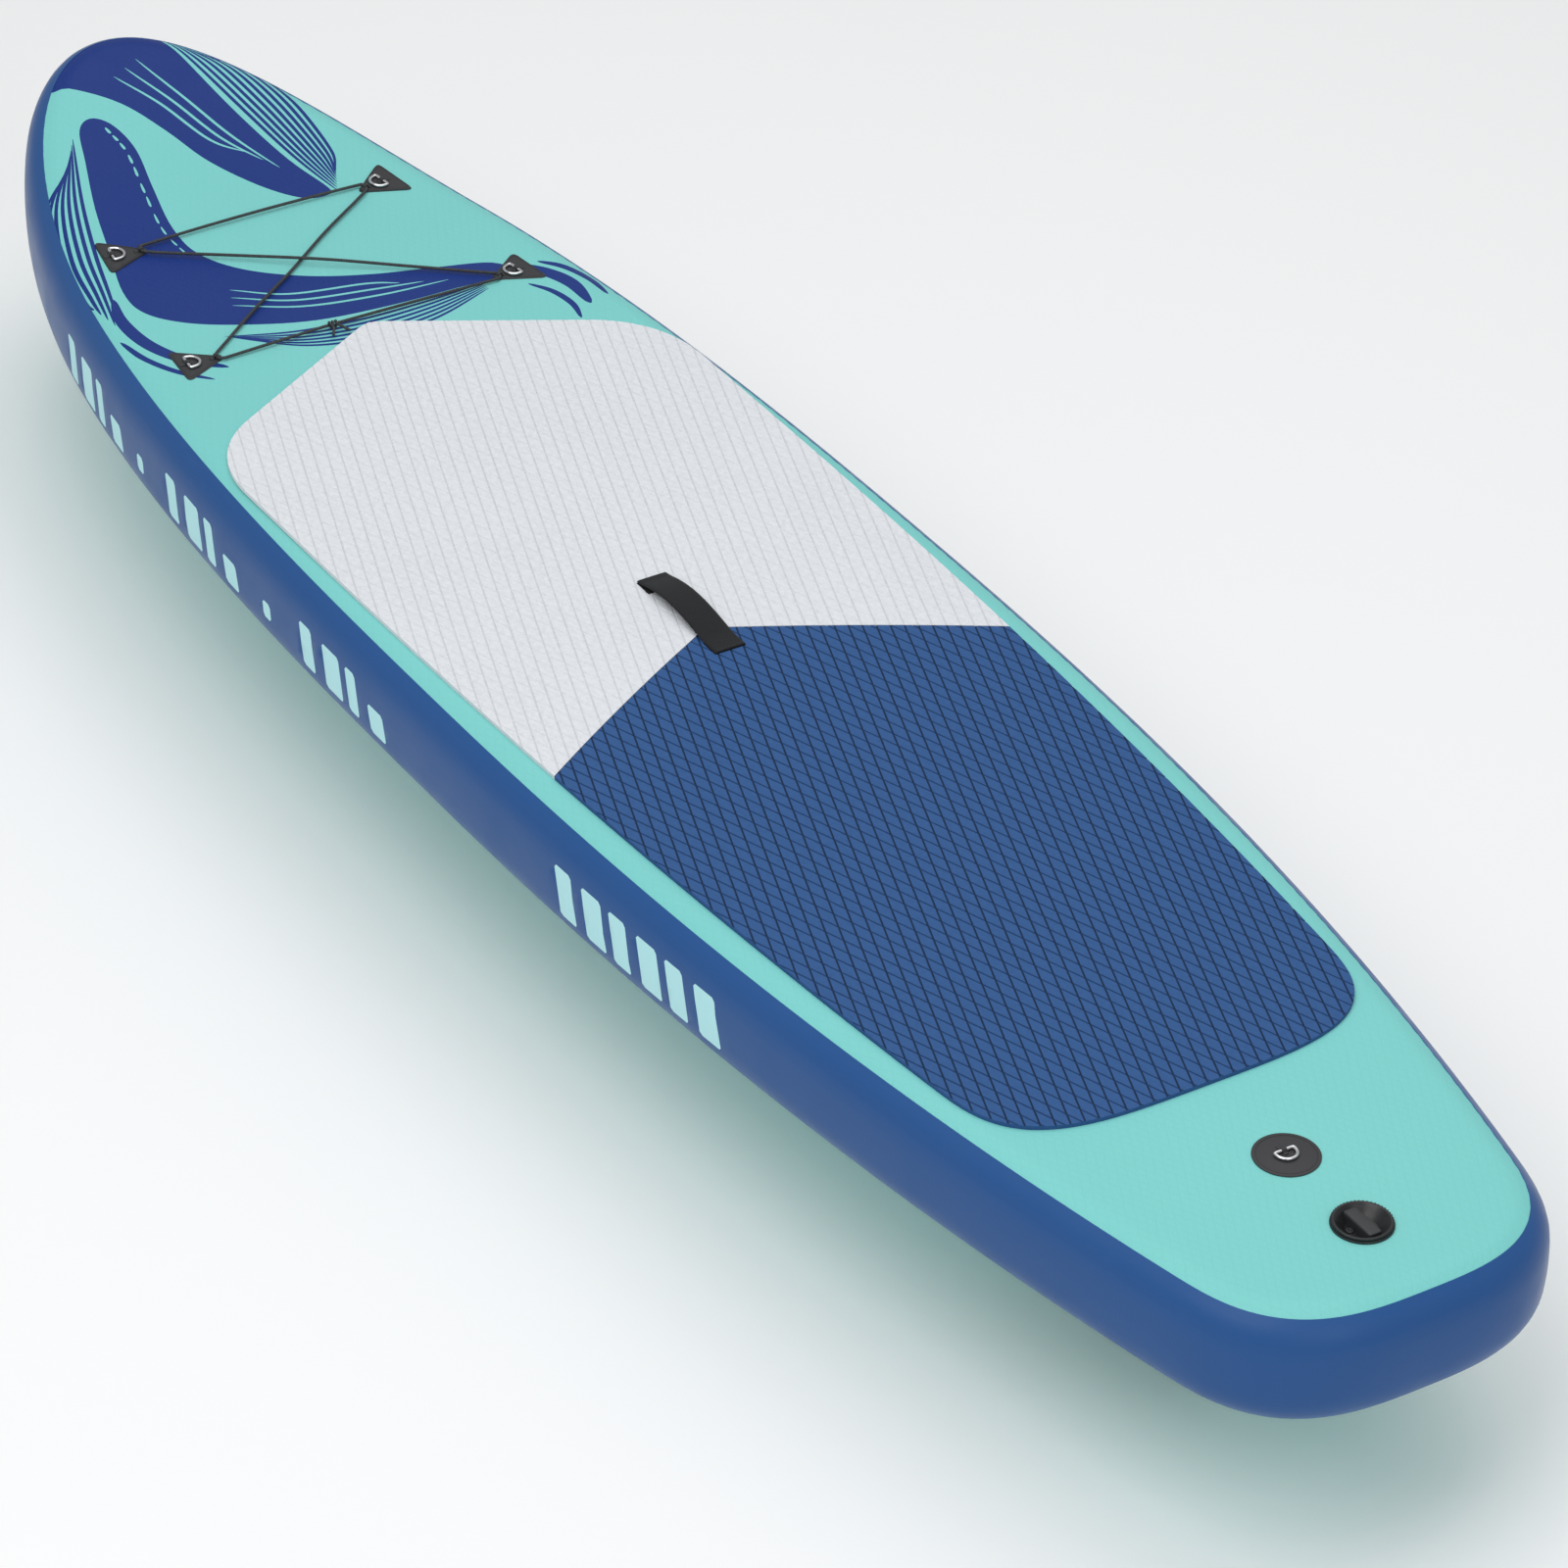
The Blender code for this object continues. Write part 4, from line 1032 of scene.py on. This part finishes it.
def build_handle():
    low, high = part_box("carry_handle")
    thick = 0.003
    foot = 0.028
    toe = 0.007
    base = low.z + thick / 2
    arch = (high.z - low.z - thick) * 0.68
    rear, front = low.x + foot, high.x - toe
    route = [(low.x, base), (low.x + foot * 0.5, base)]
    steps = 60
    for i in range(steps + 1):
        t = i / steps
        route.append((rear + (front - rear) * t, base + arch * sin(pi * (1 - t) ** 0.85)))
    route.append((high.x, base))
    corners = [Vector((x, 0.0, z)) for x, z in route]
    for _ in range(6):
        corners[1:-1] = [(a + b * 2 + c) / 4 for a, b, c in zip(corners, corners[1:], corners[2:])]
    route = [(p.x, p.z) for p in corners]
    piece("handle_strap", strap(route, thick, high.y - low.y, 22), "strap", None, 50, "carry_handle")
    top = base + thick / 2
    seams = []
    half_y = (high.y - low.y) * 0.4
    for x in (low.x + 0.004, low.x + 0.021, high.x - 0.004):
        seams += [(x, half_y * (-1 + i / 4), top) for i in range(9)]
    stitches("handle_stitches", seams, 0.0032, 0.00035)


# --- D-rings, patches and bungee ---

WIRE = 0.004
RING_WIDTH = 0.03
RING_DEPTH = 0.021
PATCH = 0.0015
PATCH_SIDE = 0.08
PATCH_REACH = 0.068
PATCH_ROUND = 0.008
PATCH_EDGE = 0.0006
CORD = 0.004
CORD_TURN = 0.053
KNOT_CORD = 0.0017
TAIL_CORD = 0.0018
TAPE = 0.001
GAP = 0.0003
FRONT_PATCH = (1.094, 0.222, 9.5)
REAR_PATCH = (0.811, 0.2635, 6.5)
LEFT_RING = 0.013
RIGHT_RING = 0.0245
LEASH_X = middle_x("leash_patch")
LEASH_RING_X = -1.236
LEASH_DISC = 0.039
LEASH_WELD = 0.0345
WELD = 0.00045
LIFT = 0.0009


def slope(x):
    return atan(2 * ROCKER * max(0.0, x - ROCKER_START))


def deck_place(x, y, heading):
    """A place on the deck, tilted with it, whose +X points along a heading in degrees."""
    tilt = Matrix.Rotation(-slope(x), 4, "Y")
    turn = Matrix.Rotation(radians(heading), 4, "Z")
    lift = LIFT if x > ROCKER_START else 0.0
    return Matrix.Translation((x, y, DECK_Z + float(rise(x)) + lift)) @ tilt @ turn


def rounded_triangle():
    corners = [(0.0, -PATCH_SIDE / 2), (PATCH_REACH, 0.0), (0.0, PATCH_SIDE / 2)]
    points = []
    for i, corner in enumerate(corners):
        here = Vector(corner)
        cut = PATCH_ROUND * 1.6
        start = here + (Vector(corners[i - 1]) - here).normalized() * cut
        end = here + (Vector(corners[(i + 1) % 3]) - here).normalized() * cut
        points += bend(start, here, end, 10)
    return points


def ring_route():
    """The D-ring's wire: a straight bar and an arc towards +X."""
    half = (RING_WIDTH - WIRE) / 2
    reach = RING_DEPTH - WIRE
    corner = 0.002
    route = [Vector((0, y, 0)) for y in np.linspace(-half + corner, half - corner, 10)]
    steps = 48
    for i in range(steps + 1):
        a = pi * i / steps
        bulge = sin(a) ** 0.8 if 0 < i < steps else 0.0
        route.append(Vector((corner / 2 + (reach - corner / 2) * bulge, half * cos(a), 0)))
    return route


def ring_height():
    return PATCH + 3 * GAP + WIRE / 2


def keeper(bore, back, front, width):
    """A tape that lies flat, passes over a round bar and lies flat again."""
    flat = PATCH + 2 * GAP + TAPE / 2
    middle = ring_height()
    reach = bore + TAPE / 2
    route = [(-back, flat), (-back * 0.8, flat), (-reach - 0.0022, flat), (-reach - 0.0009, flat + 0.0006)]
    for degrees in range(182, -8, -10):
        a = radians(degrees)
        route.append((reach * cos(a), middle + reach * sin(a)))
    route += [(reach + 0.0009, flat + 0.0004), (reach + 0.0022, flat), (front, flat)]
    return strap(route, TAPE, width, 8)


def add_ring(name, place, bar_x, label):
    at_bar = place @ Matrix.Translation((bar_x, 0, 0))
    tape = keeper(WIRE / 2 + 0.0003, 0.011, 0.0064, 0.006)
    node = "leash_ring_loop" if name == "leash_ring" else f"ring_loop_{label}"
    piece(f"tape_{label}", tape, "patch", at_bar, 50, node)
    ring_place = at_bar @ Matrix.Translation((0, 0, ring_height()))
    piece(f"wire_{label}", tube(ring_route(), WIRE / 2, 16, True), "steel", ring_place, 60, name, body=name)


def build_patches():
    for row, (x, y, skew) in (("front", FRONT_PATCH), ("rear", REAR_PATCH)):
        for side, sign, bar_x in (("left", 1, LEFT_RING), ("right", -1, RIGHT_RING)):
            label = f"{row}_{side}"
            place = deck_place(x, sign * y, -sign * (90 + skew))
            low = -LIFT if x > ROCKER_START else 0.0
            body = plate(rounded_triangle(), low, GAP + PATCH, PATCH_EDGE, 4, 2 * PATCH_EDGE)
            piece(f"patch_{label}", body, "patch", place, 50, f"bungee_patch_{label}")
            rim = [Vector(p) for p in rounded_triangle()]
            middle = sum(rim, Vector((0, 0))) / len(rim)
            inner = [middle + (p - middle) * 0.86 for p in rim]
            route = [(p.x, p.y, GAP + PATCH) for p in inner]
            piece(f"patch_weld_{label}", tube(route, WELD, 6, True), "patch", place, 60)
            add_ring(f"d_ring_{label}", place, bar_x, label)
            tape = keeper(CORD / 2 + 0.0008, 0.0085, 0.0075, 0.0062)
            at_cord = place @ Matrix.Translation((CORD_TURN, 0, 0))
            piece(f"cord_tape_{label}", tape, "patch", at_cord, 50, f"cord_loop_{label}")


def build_leash_point():
    place = deck_place(LEASH_X, 0, 180)
    outline = [(LEASH_DISC * c, LEASH_DISC * s) for c, s in circle(96)]
    piece("leash_disc", plate(outline, 0.0, GAP + PATCH, PATCH_EDGE, 4), "patch", place, 50, "leash_patch")
    route = [(LEASH_WELD * c, LEASH_WELD * s, GAP + PATCH) for c, s in circle(96)]
    piece("leash_weld", tube(route, WELD, 6, True), "patch", place, 60)
    add_ring("leash_ring", place, LEASH_X - LEASH_RING_X, "leash")


# The cord's route: x, y and height above the deck, from one side of the knot
# round the four patches and back to the other side of the knot.
CORD_ROUTE = (
    (0.7985, 0.05, 0.0062), (0.797, 0.12, 0.0056), (0.7961, 0.193, 0.0044), (0.7963, 0.203, 0.0044),
    (0.7991, 0.2092, 0.0044), (0.805, 0.2108, 0.0044), (0.8107, 0.2074, 0.0044), (0.83, 0.1818, 0.0046),
    (0.885, 0.108, 0.005), (0.944, 0.0235, 0.0046), (1.01, -0.0655, 0.005), (1.06, -0.142, 0.0053),
    (1.0775, -0.1664, 0.0053), (1.0852, -0.1697, 0.0053), (1.0904, -0.1664, 0.0053), (1.0919, -0.16, 0.0053),
    (1.0935, -0.08, 0.0062), (1.094, 0.0, 0.0066), (1.0935, 0.08, 0.0062), (1.0919, 0.16, 0.0053),
    (1.0904, 0.1664, 0.0053), (1.0852, 0.1697, 0.0053), (1.0775, 0.1664, 0.0053), (1.06, 0.142, 0.0058),
    (1.01, 0.0655, 0.007), (0.944, -0.0235, 0.01), (0.885, -0.108, 0.0064), (0.83, -0.1818, 0.0046),
    (0.8107, -0.2074, 0.0044), (0.805, -0.2108, 0.0044), (0.7991, -0.2092, 0.0044), (0.7963, -0.203, 0.0044),
    (0.7961, -0.193, 0.0044), (0.797, -0.08, 0.0058), (0.7985, 0.034, 0.0062),
)
# The knot's middle, and from there the points of one of the cord's loose ends
KNOT = (0.7985, 0.042, 0.0062)
KNOT_TAIL = ((0, 0.004, 0.001), (-0.008, 0.0045, 0.002), (-0.017, 0.0085, 0.0005), (-0.0225, 0.0125, -0.001))


def on_deck(x, y, height):
    return Vector((x, y, DECK_Z + float(rise(x)) + height))


def spaced(route, step):
    line = np.array([tuple(p) for p in route])
    lengths = np.concatenate([[0], np.cumsum(np.linalg.norm(np.diff(line, axis=0), axis=1))])
    at = np.linspace(0, lengths[-1], max(2, int(lengths[-1] / step)))
    return np.column_stack([np.interp(at, lengths, line[:, k]) for k in range(3)]), at


def sheath(route, radius, sides, strands=8, pitch=0.014, relief=0.00022):
    """A braided cord: two sets of yarns that wind opposite ways stand out of a round tube."""
    points, at = spaced(route, 0.0009)
    rings = []
    for (here, across, other), length in zip(frames([Vector(p) for p in points]), at):
        wind = 2 * pi * length / pitch
        ring = []
        for k in range(sides):
            a = 2 * pi * k / sides
            swell = abs(cos(strands / 4 * (a + wind))) * abs(cos(strands / 4 * (a - wind)))
            r = radius - relief + relief * 2 * swell**0.7
            ring.append(here + (across * cos(a) + other * sin(a)) * r)
        rings.append(ring)
    return loft(rings)


def build_bungee():
    route = through([on_deck(*point) for point in CORD_ROUTE], 8)
    piece("bungee_line", sheath(route, CORD / 2, 16), "cord", None, 60, "bungee_cord")
    centre = on_deck(*KNOT)
    turns = []
    steps = 80
    for i in range(steps + 1):
        t = i / steps
        a = 2 * pi * 2.2 * t
        turns.append(centre + Vector((0.0036 * cos(a), -0.0052 + 0.0104 * t, 0.0034 * sin(a))))
    piece("bungee_knot_turns", sheath(turns, KNOT_CORD, 14, pitch=0.01), "cord", None, 60, "bungee_knot")
    for side in (-1, 1):
        tail = through([centre + Vector((x, side * y, z)) for x, y, z in KNOT_TAIL], 8)
        piece(f"bungee_tail_{'a' if side < 0 else 'b'}", sheath(tail, TAIL_CORD, 14), "cord", None, 60)


# --- Valve ---


def build_valve():
    place = Matrix.Translation((VALVE_X, 0, DECK_Z))
    body = [
        (0.03, 0.0026), (0.035, 0.0022), (0.036, 0.001), (0.036, 0.0),
        (0.0303, 0.0), (0.0303, -0.0125), (0.0225, -0.016), (0.0225, -0.046),
        (0.0165, -0.046), (0.0165, -0.013), (0.0232, -0.013), (0.0232, -0.0098),
    ]
    piece("valve_throat", turned(body, 128, 0.0007), "plastic", place, 40)
    cap = [
        (0, -0.0062), (0.0185, -0.0062), (0.0262, 0.001), (0.0312, 0.006), (0.0335, 0.0062),
        (0.0345, 0.0052), (0.0345, 0.0033), (0.0292, 0.0033), (0.0225, -0.0092), (0.016, -0.0092),
        (0.016, -0.0125), (0, -0.0125),
    ]
    piece("cap_shell", turned(cap, 128, 0.0008), "cap", place, 40, "valve_cap", body="valve_cap_turn")
    length, wide = 0.0475, 0.0175
    levels = ((-0.0072, 1.0, 0.0), (0.002, 1.06, 0.0), (0.0042, 1.05, 0.0003), (0.005, 1.01, 0.001))
    levels += ((0.0053, 0.96, 0.0022),)
    rings = []
    for z, share, inset in levels:
        half_x = length / 2 * share - inset
        half_y = wide / 2 - inset
        ring = []
        for corner_x, corner_y, first in ((1, 1, 0), (-1, 1, 90), (-1, -1, 180), (1, -1, 270)):
            for k in range(5):
                a = radians(first + 22.5 * k)
                round_by = 0.003
                x = corner_x * (half_x - round_by) + round_by * cos(a)
                y = corner_y * (half_y - round_by) + round_by * sin(a)
                waist = 1 - 0.1 * cos(pi * x / length) ** 2
                ring.append((x, y * waist, z))
        rings.append(ring)
    piece("cap_grip", loft(rings), "grip", place, 40, body="valve_cap_turn")
    eye = [(0, 0.0006), (0.0024, 0.0006), (0.0028, 0.0016), (0.0044, 0.0016), (0.0047, 0.0), (0, 0.0)]
    dot = turned(eye, 48, 0.0002)
    at_dot = place @ Matrix.Translation((0.003, 0.0137, -0.0063))
    piece("cap_dot", dot, "plastic", at_dot, 40, body="valve_cap_turn")
    ribs = bmesh.new()
    for i in range(48):
        a = 2 * pi * i / 48
        turn = Matrix.Rotation(a, 4, "Z")
        size = Matrix.Diagonal((0.001, 0.0012, 0.0026, 1))
        bmesh.ops.create_cube(ribs, size=1, matrix=turn @ Matrix.Translation((0.0344, 0, 0.00475)) @ size)
    bmesh.ops.bevel(ribs, geom=ribs.edges[:], offset=0.0002, segments=1, affect="EDGES")
    piece("cap_ribs", ribs, "cap", place, 40, body="valve_cap_turn")


def build_spring():
    """The stem's return spring, a coil as tall as its node's box; pressed by the stem, the spring would keep
    0.59 of its height.
    """
    low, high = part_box("valve_spring")
    wire, coil, count = 0.0006, 0.0058, 96
    route = []
    for i in range(count + 1):
        share = min(max((i / count - 0.08) / 0.84, 0), 1)
        a = 2 * pi * i / 24
        z = low.z + wire + (high.z - low.z - 2 * wire) * share
        route.append((VALVE_X + coil * cos(a), coil * sin(a), z))
    made = piece("stem_spring", tube(route, wire, 10), "spring", None, 50, "valve_spring")
    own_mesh(made)


# --- Fins ---

SIDE_CHORD = 0.115
SIDE_RAKE = 0.055
SIDE_THICK = 0.0075
CENTRE_RAKE = 0.085
CENTRE_THICK = 0.0085
# The centre fin's tongue, how far its tab reaches past both ends, and the screw hole's radius
TONGUE = 0.16
TAB_OVERLAP = 0.004
SCREW_BORE = 0.0027


def foil(chord, reach, rake, thickness, steps=48, around=28):
    """A raked blade, blunt in front and thin behind, with a tip that runs round to its back."""
    rings = []
    for i in range(steps + 1):
        t = 1 - (1 - i / steps) ** 1.8
        front = chord / 2 - rake * t**1.6 - chord * 0.3 * t**3
        back = -chord / 2 - rake * 0.42 * t**1.2 + chord * 0.1 * sin(pi * t) - chord * 0.02 * t**4
        end = max(0.0, (t - 0.74) / 0.26)
        back += (front - back) * 0.22 * end**3
        front = back + (front - back) * max(0.04, sqrt(1 - end * end))
        thick = thickness * (1 - 0.55 * t) * (0.3 + 0.7 * sqrt(1 - end * end))
        middle, half = (front + back) / 2, (front - back) / 2
        ring = []
        for k in range(around):
            a = 2 * pi * k / around
            share = (1 - cos(a)) / 2
            shape = 0.2969 * sqrt(share) - 0.126 * share
            shape += -0.3516 * share**2 + 0.2843 * share**3 - 0.098 * share**4
            y = min(thick / 2, shape * thick * 4.9) if k else 0.0
            ring.append((middle + half * cos(a), copysign(y, sin(a)), -reach * t))
        rings.append(ring)
    return loft(rings)


def build_fins():
    for side in ("left", "right"):
        plate_low, plate_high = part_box(f"side_fin_base_{side}")
        low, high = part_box(f"side_fin_{side}")
        y = (low.y + high.y) / 2
        x = middle_x(f"side_fin_base_{side}")
        place = Matrix.Translation((x, y, high.z))
        blade = foil(SIDE_CHORD, high.z - low.z, SIDE_RAKE, SIDE_THICK)
        piece(f"side_blade_{side}", blade, "fin", place, 50, f"side_fin_{side}")
        length, width = plate_high.x - plate_low.x, plate_high.y - plate_low.y
        outline = stadium(length, width, 24)
        place = Matrix.Translation((x, y, 0))
        base = plate(outline, plate_low.z, BOTTOM_Z, 0.0012, 5)
        piece(f"side_base_{side}", base, "patch", place, 50, f"side_fin_base_{side}")
        foot = strap([(-0.06, 0.0), (-0.02, 0.0), (0.02, 0.0), (0.06, 0.0)], 0.004, 0.014, 10)
        piece(f"side_root_{side}", foot, "fin", Matrix.Translation((x, y, plate_low.z)), 50)


def stadium(length, width, steps):
    radius = width / 2
    reach = length / 2 - radius
    points = []
    for centre, first in ((reach, -90), (-reach, 90)):
        for i in range(steps + 1):
            a = radians(first + 180 * i / steps)
            points.append((centre + radius * cos(a), radius * sin(a)))
    return points


def build_centre_fin():
    """The blade, the tongue that slides in the box, and the tab that the screw goes through."""
    low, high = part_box("centre_fin")
    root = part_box("fin_box")[0].z - 0.0006
    foot = root - 0.002
    middle = BOX_X - 0.013
    place = Matrix.Translation((middle, 0, root))
    blade = foil(TONGUE, root - low.z, CENTRE_RAKE, CENTRE_THICK, 80, 36)
    piece("fin_blade", blade, "fin", place, 50, "centre_fin", body="centre_fin")
    place = Matrix.Translation((middle, 0, 0))
    tongue = plate(stadium(TONGUE, high.y - low.y, 8), foot, high.z, 0.0006, 3)
    piece("fin_tongue", tongue, "fin", place, 50, body="centre_fin")
    length, width = high.x - middle - TONGUE / 2 + 2 * TAB_OVERLAP, high.y - low.y
    half = 12

    def outer(inset, z):
        outline = stadium(length - 2 * inset, width - 2 * inset, half - 1)
        return [(x - TAB_OVERLAP, y, foot + z) for x, y in outline]

    def bore(inset, z):
        angles = [radians(first + 180 * (i + 0.5) / half) for first in (-90, 90) for i in range(half)]
        radius = SCREW_BORE + inset
        return [(radius * cos(a), radius * sin(a), foot + z) for a in angles]

    rings = [outer(0, 0.0006), outer(0.0006, 0), bore(0.0004, 0), bore(0, 0.0004)]
    rings += [bore(0, 0.0076), bore(0.0004, 0.008), outer(0.0006, 0.008), outer(0, 0.0074)]
    place = Matrix.Translation((middle_x("fin_screw"), 0, 0))
    piece("fin_tab", loft(rings, True), "fin", place, 50, body="centre_fin")


# --- CAD nodes that show ---

NODE_LOOKS = {
    "core": (
        "drop_stitch_core", "core_nose_low", "core_nose_middle", "core_nose_tip",
        "core_tail_left", "core_tail_right",
    ),
    "strap": ("handle_anchor_front", "handle_anchor_rear"),
    "plastic": ("valve_body", "valve_nut", "valve_stem", "fin_box"),
    "rubber": ("valve_seal", "cap_seal"),
    "brass": ("fin_pin", "fin_nut"),
    "steel": ("fin_screw",),
}


def dress_nodes():
    for look, names in NODE_LOOKS.items():
        for name in names:
            mesh = NODES[name].data
            mesh.materials.clear()
            mesh.materials.append(M[look])


# --- Studio ---


def build_studio():
    ground = bmesh.new()
    bmesh.ops.create_grid(ground, x_segments=2, y_segments=2, size=30.0)
    ground.transform(Matrix.Translation((0, 0, -0.0005)))
    mesh = bpy.data.meshes.new("floor")
    ground.to_mesh(mesh)
    ground.free()
    pale = Shader("pale_floor", 0.9, specular=0.1)
    pale.colour((0.96, 0.96, 0.96, 1.0))
    mesh.materials.append(pale.material)
    obj = added("floor", mesh)

    world = bpy.data.worlds.new("studio")
    world.use_nodes = True
    world.node_tree.nodes["Background"].inputs["Color"].default_value = (0.97, 0.985, 1.0, 1.0)
    world.node_tree.nodes["Background"].inputs["Strength"].default_value = 0.42
    bpy.context.scene.world = world

    lamps = (
        ("key", (-1.5, 3.5, 6.0), 5.0, 180.0),
        ("fill", (-6.0, 0.5, 4.0), 4.0, 55.0),
        ("top", (1.0, -1.5, 6.5), 6.0, 150.0),
    )
    for name, place, size, power in lamps:
        data = bpy.data.lights.new(name, "AREA")
        data.size = size
        data.energy = power
        lamp = added(name, data)
        lamp.location = place
        lamp.rotation_euler = (Vector((0, 0, 0.3)) - Vector(place)).to_track_quat("-Z", "Y").to_euler()


dress_nodes()
build_bungee()
build_deck()
build_rails()
build_pads()
build_handle()
build_patches()
build_leash_point()
build_valve()
build_spring()
build_fins()
build_centre_fin()
build_studio()
